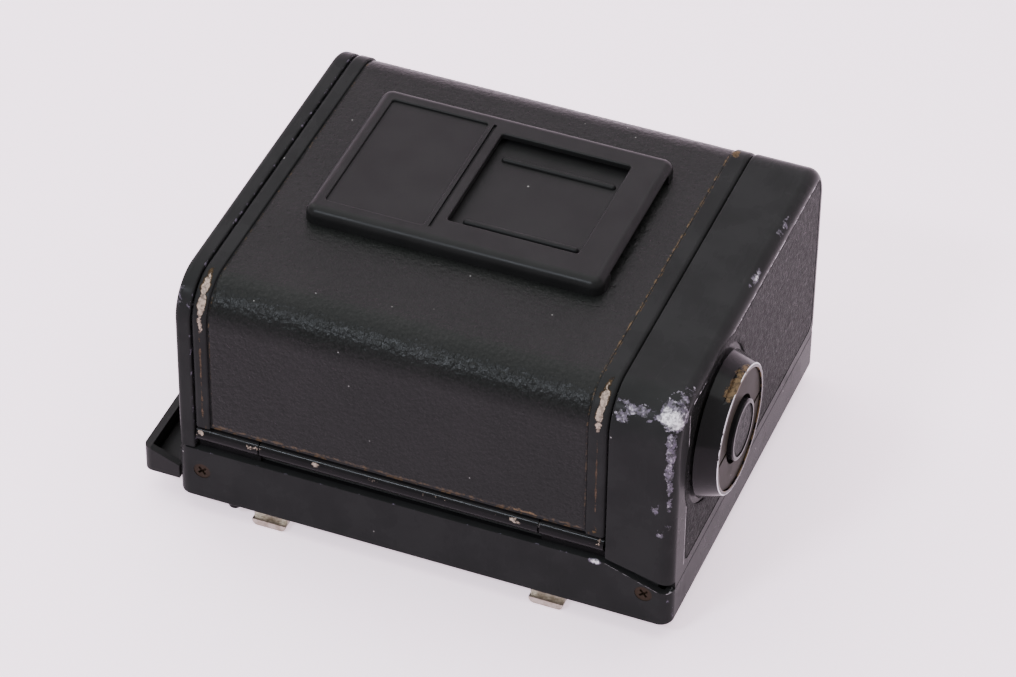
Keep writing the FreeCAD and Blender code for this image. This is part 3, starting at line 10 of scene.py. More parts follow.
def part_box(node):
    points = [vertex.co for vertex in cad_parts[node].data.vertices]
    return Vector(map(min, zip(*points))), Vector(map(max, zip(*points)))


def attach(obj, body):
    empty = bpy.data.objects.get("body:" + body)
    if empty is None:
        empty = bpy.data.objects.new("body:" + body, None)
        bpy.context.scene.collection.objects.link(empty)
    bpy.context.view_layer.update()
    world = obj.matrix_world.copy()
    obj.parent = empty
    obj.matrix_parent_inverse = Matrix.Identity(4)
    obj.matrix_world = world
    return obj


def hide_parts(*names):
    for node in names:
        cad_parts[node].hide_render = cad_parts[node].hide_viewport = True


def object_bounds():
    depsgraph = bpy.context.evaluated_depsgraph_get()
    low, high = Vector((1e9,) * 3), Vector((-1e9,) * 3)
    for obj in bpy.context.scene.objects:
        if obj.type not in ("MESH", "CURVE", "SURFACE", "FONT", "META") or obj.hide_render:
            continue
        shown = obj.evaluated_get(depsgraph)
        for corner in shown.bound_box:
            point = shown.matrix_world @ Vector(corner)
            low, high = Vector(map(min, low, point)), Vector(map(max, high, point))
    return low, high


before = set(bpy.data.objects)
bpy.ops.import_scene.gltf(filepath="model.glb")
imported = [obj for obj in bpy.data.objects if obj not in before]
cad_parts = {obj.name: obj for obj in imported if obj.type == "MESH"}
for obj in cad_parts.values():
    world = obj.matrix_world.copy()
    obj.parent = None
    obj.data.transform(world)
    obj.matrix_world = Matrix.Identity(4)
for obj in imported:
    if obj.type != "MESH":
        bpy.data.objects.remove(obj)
cad_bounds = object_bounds()

MM = 0.001

# ---------------------------------------------------------------- camera
TARGET = Vector((18.86, -35.98, 52.08)) * MM
AZIMUTH = math.radians(21.10)
ELEVATION = math.radians(40.53)
ROLL = math.radians(0.821)
DISTANCE = 0.7241
LENS = 165.0
SENSOR = 36.0


def link(thing):
    bpy.context.scene.collection.objects.link(thing)
    return thing


def make_camera():
    flat = math.cos(ELEVATION)
    away = Vector((math.sin(AZIMUTH) * flat, -math.cos(AZIMUTH) * flat, math.sin(ELEVATION)))
    data = bpy.data.cameras.new("camera")
    data.lens = LENS
    data.sensor_width = SENSOR
    camera = link(bpy.data.objects.new("camera", data))
    camera.location = TARGET + away * DISTANCE
    camera.rotation_mode = "QUATERNION"
    camera.rotation_quaternion = Quaternion(away, ROLL) @ (-away).to_track_quat("-Z", "Y")
    bpy.context.scene.camera = camera


# ---------------------------------------------------------------- stage and light
FLOOR_COLOR = (0.830, 0.690, 0.785, 1)
FLOOR_ROUGH = 0.7
FLOOR_LEVEL = 0.2             # specular level
FLOOR_GLOW = 1.25             # the paper is over-exposed, as on a light table
FLOOR_HALF_X = 2.4            # metres, as are the floor's other sizes
FLOOR_FRONT = 1.6
FLOOR_BACK = 1.1              # where the paper starts to rise
FLOOR_SWEEP = 0.6             # radius of its rise
FLOOR_HEIGHT = 2.4
FLOOR_STEPS = 24
SKY_COLOR = (1.0, 0.975, 0.99, 1)
SKY_STRENGTH = 1.1
LIGHTS = (                    # name, place and size in metres, watts, colour
    ("overhead", (-0.12, 0.20, 1.25), (1.7, 1.6), 30.0, (0.97, 1.0, 0.99)),
    ("front_box", (-0.38, -0.91, 0.95), (0.24, 0.14), 12.0, (0.84, 0.90, 1.0)),
    ("left_box", (-1.1, 0.35, 0.95), (0.9, 0.9), 7.0, (1.0, 0.99, 1.0)),
)


def make_stage():
    """Sheet of pale paper that lies under the magazine and rises behind it in one curve."""
    profile = [(-FLOOR_FRONT, 0.0)]
    for i in range(FLOOR_STEPS + 1):
        turn = math.pi / 2 * i / FLOOR_STEPS
        profile.append((FLOOR_BACK + FLOOR_SWEEP * math.sin(turn), FLOOR_SWEEP * (1 - math.cos(turn))))
    profile.append((FLOOR_BACK + FLOOR_SWEEP, FLOOR_HEIGHT))
    low = cad_bounds[0][2]
    points = [(x, y, low + z) for x in (-FLOOR_HALF_X, FLOOR_HALF_X) for y, z in profile]
    count = len(profile)
    faces = [(i, i + count, i + count + 1, i + 1) for i in range(count - 1)]
    mesh = bpy.data.meshes.new("floor")
    mesh.from_pydata(points, [], faces)
    mesh.polygons.foreach_set("use_smooth", [True] * len(faces))
    m = Shader("floor_paper")
    m.set("Base Color", FLOOR_COLOR)
    m.set("Roughness", FLOOR_ROUGH)
    m.set("Specular IOR Level", FLOOR_LEVEL)
    m.set("Emission Color", FLOOR_COLOR)
    m.set("Emission Strength", FLOOR_GLOW)
    mesh.materials.append(m.material)
    link(bpy.data.objects.new("floor", mesh))


def area_light(name, place, size, power, color):
    """Rectangular lamp that faces the origin."""
    data = bpy.data.lights.new(name, "AREA")
    data.shape = "RECTANGLE"
    data.size, data.size_y = size
    data.energy = power
    data.color = color
    lamp = link(bpy.data.objects.new(name, data))
    lamp.location = place
    lamp.rotation_mode = "QUATERNION"
    lamp.rotation_quaternion = (-Vector(place)).to_track_quat("-Z", "Y")


def make_light():
    """Even pale sky and three soft boxes."""
    world = bpy.data.worlds.new("studio")
    world.use_nodes = True
    background = world.node_tree.nodes["Background"]
    background.inputs["Color"].default_value = SKY_COLOR
    background.inputs["Strength"].default_value = SKY_STRENGTH
    bpy.context.scene.world = world
    for light in LIGHTS:
        area_light(*light)


# ---------------------------------------------------------------- node materials
class Shader:
    """A node material with one Principled surface, built up by small calls."""

    def __init__(self, name):
        self.material = bpy.data.materials.new(name)
        self.material.use_nodes = True
        self.tree = self.material.node_tree
        self.surface = self.tree.nodes["Principled BSDF"]
        self.place = self.add("ShaderNodeTexCoord").outputs["Object"]
        self.relief = None

    def add(self, kind, **settings):
        node = self.tree.nodes.new(kind)
        for key, value in settings.items():
            setattr(node, key, value)
        return node

    def feed(self, socket, value):
        if isinstance(value, bpy.types.NodeSocket):
            self.tree.links.new(value, socket)
        else:
            socket.default_value = value

    def set(self, name, value):
        self.feed(self.surface.inputs[name], value)

    def math(self, operation, a, b=0.0, c=0.0, clamp=False):
        node = self.add("ShaderNodeMath", operation=operation, use_clamp=clamp)
        for socket, value in zip(node.inputs, (a, b, c)):
            self.feed(socket, value)
        return node.outputs[0]

    def vector(self, operation, a, b=(0, 0, 0), out=0):
        node = self.add("ShaderNodeVectorMath", operation=operation)
        self.feed(node.inputs[0], a)
        self.feed(node.inputs[1], b)
        return node.outputs[out]

    def axis(self, name):
        node = self.add("ShaderNodeSeparateXYZ")
        self.feed(node.inputs[0], self.place)
        return node.outputs[name]

    def noise(self, size_mm, detail=4.0, rough=0.55, stretch=(1, 1, 1), shift=0.0):
        """Noise about 0.5 whose blobs are about size_mm across."""
        where = self.vector("MULTIPLY", self.place, stretch)
        where = self.vector("ADD", where, (shift * MM,) * 3)
        node = self.add("ShaderNodeTexNoise")
        self.feed(node.inputs["Vector"], where)
        self.feed(node.inputs["Scale"], 1.0 / (size_mm * MM))
        self.feed(node.inputs["Detail"], detail)
        self.feed(node.inputs["Roughness"], rough)
        return node.outputs["Fac"]

    def cells(self, size_mm, warp=0.0):
        """Distance to the nearest of scattered points about size_mm apart."""
        where = self.place
        if warp:
            bend = self.add("ShaderNodeTexNoise")
            self.feed(bend.inputs["Vector"], self.place)
            self.feed(bend.inputs["Scale"], 0.6 / (size_mm * MM))
            offset = self.vector("SUBTRACT", bend.outputs["Color"], (0.5, 0.5, 0.5))
            offset = self.vector("MULTIPLY", offset, (warp * MM,) * 3)
            where = self.vector("ADD", where, offset)
        node = self.add("ShaderNodeTexVoronoi", feature="F1")
        self.feed(node.inputs["Vector"], where)
        self.feed(node.inputs["Scale"], 1.0 / (size_mm * MM))
        return node.outputs["Distance"]

    def ramp(self, value, low, high):
        """0 at low and 1 at high, with soft ends."""
        node = self.add("ShaderNodeMapRange", interpolation_type="SMOOTHSTEP")
        self.feed(node.inputs["Value"], value)
        self.feed(node.inputs["From Min"], low)
        self.feed(node.inputs["From Max"], high)
        return node.outputs["Result"]

    def between(self, value, low_mm, high_mm, soft_mm):
        """1 where a length lies between two others."""
        rise = self.ramp(value, (low_mm - soft_mm) * MM, (low_mm + soft_mm) * MM)
        fall = self.ramp(value, (high_mm + soft_mm) * MM, (high_mm - soft_mm) * MM)
        return self.both(rise, fall)

    def band(self, axis, low_mm, high_mm, soft_mm=0.15):
        """1 between two places along an axis."""
        return self.between(self.axis(axis), low_mm, high_mm, soft_mm)

    def block(self, x, y, z, soft_mm=0.15):
        """1 inside a box given by its low and high places along each axis."""
        inside = self.both(self.band("X", *x, soft_mm), self.band("Y", *y, soft_mm))
        return self.both(inside, self.band("Z", *z, soft_mm))

    def slanted(self, rate, low_mm, high_mm, soft_mm=0.1):
        """1 where Z + rate * X lies between two values."""
        value = self.math("MULTIPLY_ADD", self.axis("X"), rate, self.axis("Z"))
        return self.between(value, low_mm, high_mm, soft_mm)

    def near(self, centre_mm, reach_mm):
        """1 at a point, falling to 0 at an ellipsoid round it."""
        offset = self.vector("SUBTRACT", self.place, tuple(c * MM for c in centre_mm))
        scaled = self.vector("DIVIDE", offset, tuple(r * MM for r in reach_mm))
        length = self.vector("LENGTH", scaled, out="Value")
        return self.math("SUBTRACT", 1.0, length, clamp=True)

    def ring(self, centre_yz, low_mm, high_mm, soft_mm=0.06):
        """1 between two radii round an axis along X."""
        offset = self.vector("SUBTRACT", self.place, (0, centre_yz[0] * MM, centre_yz[1] * MM))
        flat = self.vector("MULTIPLY", offset, (0, 1, 1))
        radius = self.vector("LENGTH", flat, out="Value")
        return self.between(radius, low_mm, high_mm, soft_mm)

    def both(self, one, other):
        return self.math("MULTIPLY", one, other)

    def mix(self, factor, a, b):
        node = self.add("ShaderNodeMix", data_type="RGBA")
        colors = [s for s in node.inputs if s.type == "RGBA"]
        self.feed(node.inputs["Factor"], factor)
        self.feed(colors[0], a)
        self.feed(colors[1], b)
        return [s for s in node.outputs if s.type == "RGBA"][0]

    def blend(self, factor, a, b):
        node = self.add("ShaderNodeMix", data_type="FLOAT")
        floats = [s for s in node.inputs if s.type == "VALUE"]
        self.feed(floats[0], factor)
        self.feed(floats[1], a)
        self.feed(floats[2], b)
        return [s for s in node.outputs if s.type == "VALUE"][0]

    def dusted(self, tint, apart_mm, amount, reach=0.036):
        """A tint with dust specks about apart_mm apart; reach is a speck's radius in cells."""
        speck = self.ramp(self.cells(apart_mm), reach, DUST_CORE)
        return self.mix(self.both(speck, amount), tint, DUST)

    def bump(self, height, depth_mm):
        node = self.add("ShaderNodeBump")
        self.feed(node.inputs["Height"], height)
        self.feed(node.inputs["Distance"], depth_mm * MM)
        if self.relief is not None:
            self.feed(node.inputs["Normal"], self.relief)
        self.relief = node.outputs["Normal"]
        self.set("Normal", self.relief)


def grey(value, warmth=0.0):
    return (value * (1 + warmth), value, value * (1 - warmth), 1)


def darker(color, rate):
    """The colour times a rate, opaque."""
    return tuple(c * rate for c in color[:3]) + (1,)


LACQUER = (0.0118, 0.0120, 0.0120, 1)
GLOSS = (0.006, 0.0058, 0.006, 1)
PRIMER = (0.085, 0.074, 0.098, 1)
SILVER = (0.60, 0.58, 0.62, 1)
CREAM = (0.27, 0.215, 0.175, 1)
BRASS_BROWN = (0.085, 0.055, 0.028, 1)
OLD_BROWN = (0.062, 0.042, 0.029, 1)
RUST = (0.040, 0.027, 0.015, 1)
# pale grey of the painted edge highlights on the housing and on the frame's flange
EDGE_HIGHLIGHT_GREY = (0.20, 0.19, 0.20, 1)
HIDE_BACK = (0.0068, 0.0073, 0.0069, 1)
HIDE_CREASE = (0.0042, 0.0046, 0.0043, 1)
HIDE_FADED = grey(0.0095, 0.02)
DUST = (0.36, 0.35, 0.34, 1)
KEY_BROWN = (0.017, 0.0145, 0.0115, 1)
SCREW_BROWN = (0.017, 0.0115, 0.008, 1)
STEEL = (0.56, 0.55, 0.54, 1)
DUST_CORE = 0.02              # part of a speck's cell that is wholly dust
PALE_PRIMER = (0.30, 0.28, 0.32, 1)
SOOT = 0.03                   # grey of the dirt in worn patches
BARE_ROUGH = 0.42             # roughness where the lacquer has gone
KNOB = (-16.5, 28.2)          # y and z of the winding axis, mm
FLANGE_SLOPE = 0.358          # fall of the frame's near flange per mm of x


def lacquer(name, wear=(), lines=(), color=LACQUER, rough=0.24, level=0.014):
    """Black lacquer, rubbed through in places.

    wear holds (centre, reach, amount, colour) for ragged patches, in mm, painted in turn;
    lines holds (mask maker, amount, colour) for thin rubbed edges and for painted edge highlights.
    """
    m = Shader(name)
    blotch = m.ramp(m.noise(9.0, 3.0), 0.35, 0.65)
    ragged = m.math("MULTIPLY_ADD", m.noise(2.1, 9.0, 0.70), 2.4, -0.7)
    mottle = m.ramp(m.noise(0.55, 4.0, 0.7, shift=17.0), 0.38, 0.60)
    pale = m.ramp(m.noise(0.8, 8.0, 0.75, shift=9.0), 0.50, 0.68)
    primer = m.mix(pale, m.mix(mottle, grey(SOOT), PRIMER), PALE_PRIMER)
    smear = m.ramp(m.noise(3.0, 5.0, 0.6, stretch=(1, 0.25, 0.25)), 0.5, 0.75)
    tint = m.mix(blotch, color, darker(color, 1.2))
    roughness = m.blend(smear, m.blend(blotch, rough, rough + 0.05), rough + 0.14)
    bare = None
    for centre, reach, amount, under in wear:
        patch = m.near(centre, reach)
        depth = m.both(m.math("MULTIPLY_ADD", patch, amount, ragged), m.ramp(patch, 0.0, 0.1))
        core = m.ramp(depth, 0.90, 0.96)
        if under is SILVER:
            fringe = m.ramp(depth, 0.84, 0.88)
            tint = m.mix(fringe, tint, primer)
            roughness = m.blend(fringe, roughness, 0.5)
            core = m.ramp(depth, 0.96, 1.25)
        bared = primer if under is PRIMER else m.mix(mottle, darker(under, 0.35), under)
        tint = m.mix(core, tint, bared)
        roughness = m.blend(core, roughness, BARE_ROUGH)
        bare = core if bare is None else m.math("MAXIMUM", bare, core)
    # ragged noise that breaks up both the rubbed lines and the painted edge highlights
    chips = m.noise(1.3, 7.0, 0.7, shift=31.0)
    for mask, amount, under in lines:
        line_wear_and_highlight = m.ramp(m.math("MULTIPLY_ADD", mask(m), amount, chips), 0.98, 1.02)
        tint = m.mix(line_wear_and_highlight, tint, under)
        roughness = m.blend(line_wear_and_highlight, roughness, 0.45)
    m.set("Base Color", m.dusted(tint, 5.5, 0.5))
    m.set("Roughness", roughness)
    m.set("Specular IOR Level", level)
    m.bump(m.noise(0.7, 5.0, 0.6), 0.004)
    m.bump(m.noise(3.0, 2.0), 0.006)
    if bare is not None:
        m.bump(m.math("SUBTRACT", 1.0, bare), 0.04)
    return m


def leatherette(name, stains=(), level=0.075):
    """Fine-grained black leatherette; stains holds (mask maker, amount, colour) for glue and dirt."""
    m = Shader(name)
    grain = m.cells(0.36, warp=0.3)
    folds = m.noise(0.8, 6.0, 0.6)
    patch = m.ramp(m.noise(14.0, 3.0), 0.4, 0.75)
    tint = m.mix(m.ramp(grain, 0.25, 0.75), HIDE_BACK, HIDE_CREASE)
    tint = m.mix(m.math("MULTIPLY", patch, 0.35), tint, HIDE_FADED)
    ragged = m.noise(0.9, 6.0, 0.7)
    for mask, amount, under in stains:
        stain = m.ramp(m.math("MULTIPLY_ADD", mask(m), amount, ragged), 0.92, 1.02)
        tint = m.mix(stain, tint, under)
    m.set("Base Color", m.dusted(tint, 4.2, 0.45))
    m.set("Roughness", m.blend(m.ramp(folds, 0.35, 0.7), 0.27, 0.42))
    m.set("Specular IOR Level", level)
    m.bump(grain, 0.034)
    m.bump(folds, 0.042)
    return m


def plastic(name, value, rough):
    """Moulded black plastic with a faint orange-peel and rubbed patches."""
    m = Shader(name)
    patch = m.ramp(m.noise(8.0, 3.0), 0.3, 0.7)
    tint = m.mix(patch, grey(value), grey(value * 1.25))
    m.set("Base Color", m.dusted(tint, 6.0, 0.6, reach=0.032))
    m.set("Roughness", m.blend(patch, rough, rough + 0.07))
    m.set("Specular IOR Level", 0.06)
    m.bump(m.noise(0.25, 4.0, 0.6), 0.008)
    return m


def metal(name, color, rough, tarnish=None, amount=0.4, blotch_mm=1.6):
    """Bare metal with fine turning marks, and tarnish in blotches."""
    m = Shader(name)
    turned = m.noise(0.25, 3.0, 0.6, stretch=(1, 0.3, 0.3))
    patch = m.noise(blotch_mm, 6.0, 0.65)
    tint = m.mix(m.ramp(turned, 0.3, 0.7), color, darker(color, 0.82))
    if tarnish is not None:
        tint = m.mix(m.math("MULTIPLY", m.ramp(patch, 0.42, 0.6), amount), tint, tarnish)
    m.set("Base Color", tint)
    m.set("Metallic", 1.0)
    m.set("Roughness", m.blend(m.ramp(patch, 0.35, 0.65), rough, rough + 0.15))
    m.bump(turned, 0.004)
    return m


def glass(name):
    """Clear counter window, slightly rubbed."""
    m = Shader(name)
    m.set("Base Color", (0.9, 0.93, 0.93, 1))
    m.set("Roughness", m.blend(m.ramp(m.noise(1.5), 0.4, 0.7), 0.05, 0.12))
    m.set("Transmission Weight", 0.9)
    m.set("IOR", 1.49)
    return m


def foam(name):
    """Black light seal."""
    m = Shader(name)
    m.set("Base Color", m.mix(m.ramp(m.noise(0.4), 0.3, 0.7), grey(0.008), grey(0.02)))
    m.set("Roughness", 0.95)
    m.bump(m.cells(0.3), 0.08)
    return m


DIAL = (23.7, 28.2)           # y and z of the counter dial's axis, mm
DIAL_MARKS = 16


def dial_paint(name):
    """Black drum with sixteen pale frame marks round its rim."""
    m = Shader(name)
    offset = m.vector("SUBTRACT", m.place, (0, DIAL[0] * MM, DIAL[1] * MM))
    node = m.add("ShaderNodeSeparateXYZ")
    m.feed(node.inputs[0], offset)
    angle = m.math("ARCTAN2", node.outputs["Z"], node.outputs["Y"])
    turn = m.math("FRACT", m.math("MULTIPLY", angle, DIAL_MARKS / (2 * math.pi)))
    tick = m.both(m.ramp(turn, 0.40, 0.42), m.ramp(turn, 0.60, 0.58))
    tick = m.both(tick, m.band("X", 40.0, 42.4, 0.05))
    tick = m.both(tick, m.ring(DIAL, 10.2, 10.8))
    m.set("Base Color", m.mix(tick, grey(0.015), m.mix(m.noise(0.6), grey(0.62), grey(0.75))))
    m.set("Roughness", m.blend(m.noise(2.0), 0.4, 0.55))
    return m


# ---------------------------------------------------------------- where each lacquer wears through, and its painted edge highlights
# Places are in mm: a patch is (centre, reach along x, y and z), a line is a block or a band.
def housing_lacquer():
    """Worn through at the corner by the knob and along the near edge, with a painted highlight down the
    edge of the side's groove.
    """
    wear = [
        ((41.0, -34.0, 42.6), (7.5, 2.3, 2.2), 0.66, PRIMER),
        ((38.0, -34.9, 41.8), (2.6, 1.5, 1.5), 0.70, PRIMER),
        ((45.6, -33.2, 42.8), (4.6, 5.2, 4.0), 0.88, PRIMER),
        ((46.2, -30.0, 44.0), (2.4, 5.5, 2.0), 0.62, PRIMER),
        ((45.7, -33.9, 42.4), (3.5, 3.0, 3.2), 1.04, SILVER),
        ((46.1, -35.6, 36.5), (1.2, 1.4, 9.0), 1.04, PRIMER),
        ((46.3, -35.6, 29.5), (0.7, 1.2, 9.0), 0.82, PRIMER),
        ((44.6, -36.2, 24.5), (1.4, 0.5, 2.8), 0.62, PRIMER),
        ((45.7, -35.8, 20.5), (1.8, 1.0, 3.4), 0.66, PRIMER),
        ((46.9, 2.0, 44.0), (1.2, 3.6, 1.4), 0.64, SILVER),
        ((46.9, 16.0, 43.9), (1.2, 5.0, 1.4), 0.60, PRIMER),
    ]
    lines = [
        # painted highlight: a pale line down the edge of the side's groove
        (lambda m: m.block((47.15, 48), (-30.45, -30.1), (9, 41)), 0.62, EDGE_HIGHLIGHT_GREY),
        (lambda m: m.block((47.15, 48), (-29, 33), (42.0, 42.3)), 0.50, SILVER),
        (lambda m: m.block((35.9, 36.3), (-37, 37), (12, 46)), 0.36, PRIMER),
        (lambda m: m.block((46.2, 47.6), (34.4, 36.3), (8, 43), 0.4), 0.42, PRIMER),
    ]
    return lacquer("housing_lacquer", wear, lines)


def cap_lacquer():
    """Chipped along the bends of the left end cap."""
    wear = [
        ((-38.2, -33.9, 41.4), (1.4, 3.4, 4.0), 0.56, PRIMER),
        ((-36.3, -34.6, 40.6), (0.9, 3.0, 4.4), 0.50, PRIMER),
        ((-38.2, 33.0, 43.6), (1.6, 3.0, 2.6), 0.72, SILVER),
    ]
    lines = [
        (lambda m: m.block((-36.3, -35.9), (-37, 37), (12, 46)), 0.42, PRIMER),
        (lambda m: m.block((-39, -38.4), (-37, 37), (30, 46), 0.2), 0.38, PRIMER),
    ]
    return lacquer("cap_lacquer", wear, lines)


def cover_lacquer():
    """Both rims have rubbed through to cream at the near bend and to brown further down."""
    wear = []
    for x in (-34.3, 34.2):
        wear += [
            ((x, -36.0, 28.0), (0.30, 0.8, 15.0), 0.90, OLD_BROWN),
            ((x, -33.6, 41.4), (1.15, 5.2, 7.4), 1.10, RUST),
            ((x, -34.0, 40.6), (0.95, 4.6, 7.0), 1.22, CREAM),
        ]
    wear += [
        ((33.4, 31.5, 44.6), (1.0, 4.0, 1.6), 0.66, BRASS_BROWN),
        ((34.2, -36.0, 16.6), (1.6, 1.0, 1.2), 0.70, BRASS_BROWN),
    ]
    lines = [
        (lambda m: m.block((-34, 34), (-37, -35), (15.4, 16.4)), 0.44, RUST),
        (lambda m: m.block((32.4, 33.0), (-30, 33), (43.8, 45)), 0.46, RUST),
    ]
    return lacquer("cover_lacquer", wear, lines)


def frame_lacquer():
    """Painted highlights along the slope of the flange and at its foot, and chipped by the hinge."""
    def slope(m):
        edge = m.slanted(FLANGE_SLOPE, 23.30, 23.38, 0.06)
        return m.both(edge, m.block((36, 45.6), (-36.7, -35.9), (6, 11)))

    lines = [
        # painted highlights: a pale line along the flange's sloping top edge, and one at its foot
        (slope, 0.62, EDGE_HIGHLIGHT_GREY),
        (lambda m: m.block((45.4, 47.8), (-36.6, -33.5), (6.8, 7.0), 0.05), 0.50, EDGE_HIGHLIGHT_GREY),
        (lambda m: m.block((-38, 36), (-36.6, -35.9), (10.3, 10.7)), 0.40, PRIMER),
        (lambda m: m.block((46.4, 47.8), (-36.6, -34.0), (0.2, 6.0), 0.3), 0.38, PRIMER),
    ]
    wear = [((34.2, -36.2, 10.3), (1.6, 0.7, 0.8), 0.85, SILVER)]
    return lacquer("frame_lacquer", wear, lines)


def hinge_gloss():
    """Gloss black with cream chips along the knuckles."""
    chips = [
        ((-34.8, -36.0, 14.4), (1.6, 1.0, 1.2), 0.60),
        ((-25.5, -36.1, 14.2), (4.2, 0.7, 0.9), 0.54),
        ((-14.0, -36.1, 14.4), (5.0, 0.6, 0.8), 0.50),
        ((-4.0, -36.1, 14.4), (3.0, 0.6, 0.8), 0.46),
        ((8.0, -36.1, 14.4), (5.0, 0.6, 0.8), 0.48),
        ((20.0, -36.1, 14.4), (4.0, 0.6, 0.8), 0.46),
        ((34.6, -35.8, 14.2), (1.6, 1.2, 1.8), 0.66),
    ]
    wear = [(*chip, CREAM) for chip in chips]
    return lacquer("hinge_gloss", wear, color=GLOSS, rough=0.14, level=0.035)


def knob_gloss():
    """Gloss black ring, bright on its front edge and brown on the nail facet."""
    def outer_edge(m):
        return m.both(m.band("X", 51.30, 52.0, 0.04), m.ring(KNOB, 10.8, 11.4))

    def inner_edge(m):
        return m.both(m.band("X", 51.15, 52.0, 0.04), m.ring(KNOB, 10.2, 10.45))

    wear = [((51.0, KNOB[0] - 2.25, KNOB[1] + 10.7), (1.9, 8.0, 1.9), 1.10, BRASS_BROWN)]
    lines = [(outer_edge, 0.58, SILVER), (inner_edge, 0.50, BRASS_BROWN)]
    return lacquer("knob_gloss", wear, lines, color=GLOSS, rough=0.10, level=0.06)


def dress():
    """Gives every carried-over CAD node its material."""
    hide = leatherette("plain_leatherette")
    chosen = {
        housing_lacquer(): "drive_housing",
        cap_lacquer(): "left_end_cap far_wall",
        cover_lacquer(): "rear_cover",
        frame_lacquer(): "mount_frame",
        hinge_gloss(): "hinge_leaf_frame cover_hinge_leaf",
        lacquer("plain_gloss", color=GLOSS, rough=0.2, level=0.06): "locating_pins knob_hub",
        knob_gloss(): "winding_ring",
        lacquer("browned_brass", color=KEY_BROWN, rough=0.3, level=0.008):
            "winding_key knob_lower_half",
        lacquer("dark_screw", color=SCREW_BROWN, rough=0.4, level=0.03):
            "flange_screws mating_face_screws",
        metal("plain_steel", STEEL, 0.30):
            "hinge_pin winding_shaft shaft_clip gear_posts key_pins near_guide_roller "
            "far_guide_roller take_up_holder supply_holder pressure_springs leaf_rivets latch_tongue",
        metal("slide_steel", STEEL, 0.38, blotch_mm=25.0): "dark_slide",
        metal("bright_plate", (0.78, 0.76, 0.74, 1), 0.20): "left_latch right_latch catch_button",
        metal("lug_plate", (0.40, 0.36, 0.31, 1), 0.38, tarnish=(0.16, 0.12, 0.08, 1), amount=0.5):
            "left_hook_lug right_hook_lug",
        metal("gear_brass", (0.78, 0.58, 0.27, 1), 0.28):
            "knob_bearing winding_gear idler_gear coupling_gear compound_gear counter_idler",
        metal("plain_alloy", (0.66, 0.66, 0.67, 1), 0.34): "gear_plate supply_hub",
        plastic("memo_plastic", 0.0075, 0.30): "memo_holder",
        plastic("memo_floor_plastic", 0.0075, 0.38): "memo_backplate contact_block",
        plastic("pull_plastic", 0.009, 0.42): "slide_handle",
        plastic("spool_plastic", 0.018, 0.4): "take_up_spool",
        plastic("anodised", 0.02, 0.5):
            "insert_left_plate insert_right_plate insert_bridge pressure_plate",
        dial_paint("drum_paint"): "counter_dial",
        metal("contact_gold", (0.86, 0.64, 0.28, 1), 0.22): "contact_pins",
        glass("counter_glass"): "counter_window",
        foam("seal_foam"): "far_light_seal near_light_seal",
        hide: "left_cap_leatherette side_leatherette far_wall_leatherette cover_leatherette "
              "knob_leatherette",
    }
    for shader, names in chosen.items():
        for name in names.split():
            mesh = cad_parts[name].data
            mesh.materials.clear()
            mesh.materials.append(shader.material)


# ---------------------------------------------------------------- leatherette grain as geometry
SEED = 645
TABLE = 128
RANDOM = np.random.default_rng(SEED).random((TABLE, TABLE, 2))
STEP = 0.27                   # mm between grid lines of a leatherette
GRAIN = 1.05                  # mm across one grain
GRAIN_DEEP = 0.070            # mm from a crease to a grain's back
CREASE = 0.42                 # width of a crease's slopes, in grains
WANDER = 2.6                  # mm across the waves that bend the creases
FINE = 0.55                   # size of the fine grain, in coarse grains
WAVE = 1.7                    # mm across the slow swell under the grain
COARSE_SHARE = 0.55
FINE_SHARE = 0.25
WAVE_SHARE = 0.20
EDGE_ROLL = 0.45              # mm over which a cut edge turns down
EDGE_DROP = 0.10
SKIN_T = 0.18
NUDGE = 0.001                 # mm, for the slope of a distance
SHARP = math.radians(55)      # edges steeper than this stay sharp
BEND_R = 7.5                  # large bends of the cover
BEND_RELIEF = 1.5             # how much deeper the grain is at the near bend
BEND_WIDTH = 4.5
BEND_MIDDLE = 0.6             # where that is deepest, as a part of the bend
CORNER_R = 0.2                # corners of the cut leatherette
BUTTON_GAP = 0.6              # round the catch button
LIP_END_Z = 28.6              # where the cover's leatherette ends on the far side


def box_mm(node):
    """Lowest and highest corner of a CAD node, in mm."""
    return [[c / MM for c in corner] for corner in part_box(node)]


def pebbles(u, v, size):
    """Height from 0 in the creases to 1 on the backs of irregular grains."""
    gu, gv = u / size, v / size
    i, j = np.floor(gu).astype(int), np.floor(gv).astype(int)
    first = np.full(u.shape, 9.0)
    second = first.copy()
    for di in (-1, 0, 1):
        for dj in (-1, 0, 1):
            seed = RANDOM[(i + di) % TABLE, (j + dj) % TABLE]
            away = np.hypot(i + di + seed[..., 0] - gu, j + dj + seed[..., 1] - gv)
            second = np.minimum(second, np.maximum(first, away))
            first = np.minimum(first, away)
    rise = np.clip((second - first) / CREASE, 0, 1)
    return rise * rise * (3 - 2 * rise)


def swell(u, v, size, layer):
    """Smooth noise from 0 to 1 whose waves are about size across; layer picks its random table."""
    gu, gv = u / size, v / size
    i, j = np.floor(gu).astype(int), np.floor(gv).astype(int)
    a, b = gu - i, gv - j
    a, b = a * a * (3 - 2 * a), b * b * (3 - 2 * b)
    values = RANDOM[..., layer]
    here, right = i % TABLE, (i + 1) % TABLE
    row, above = j % TABLE, (j + 1) % TABLE
    low = (1 - a) * values[here, row] + a * values[right, row]
    high = (1 - a) * values[here, above] + a * values[right, above]
    return (1 - b) * low + b * high


def hide_height(u, v):
    """Relief of the leatherette, from -1 to 0."""
    bent_u = u + GRAIN * (swell(u, v, WANDER, 0) - 0.5)
    bent_v = v + GRAIN * (swell(u, v, WANDER, 1) - 0.5)
    coarse = pebbles(bent_u, bent_v, GRAIN)
    fine = pebbles(bent_v, bent_u, GRAIN * FINE)
    return COARSE_SHARE * coarse + FINE_SHARE * fine + WAVE_SHARE * swell(u, v, WAVE, 0) - 1.0


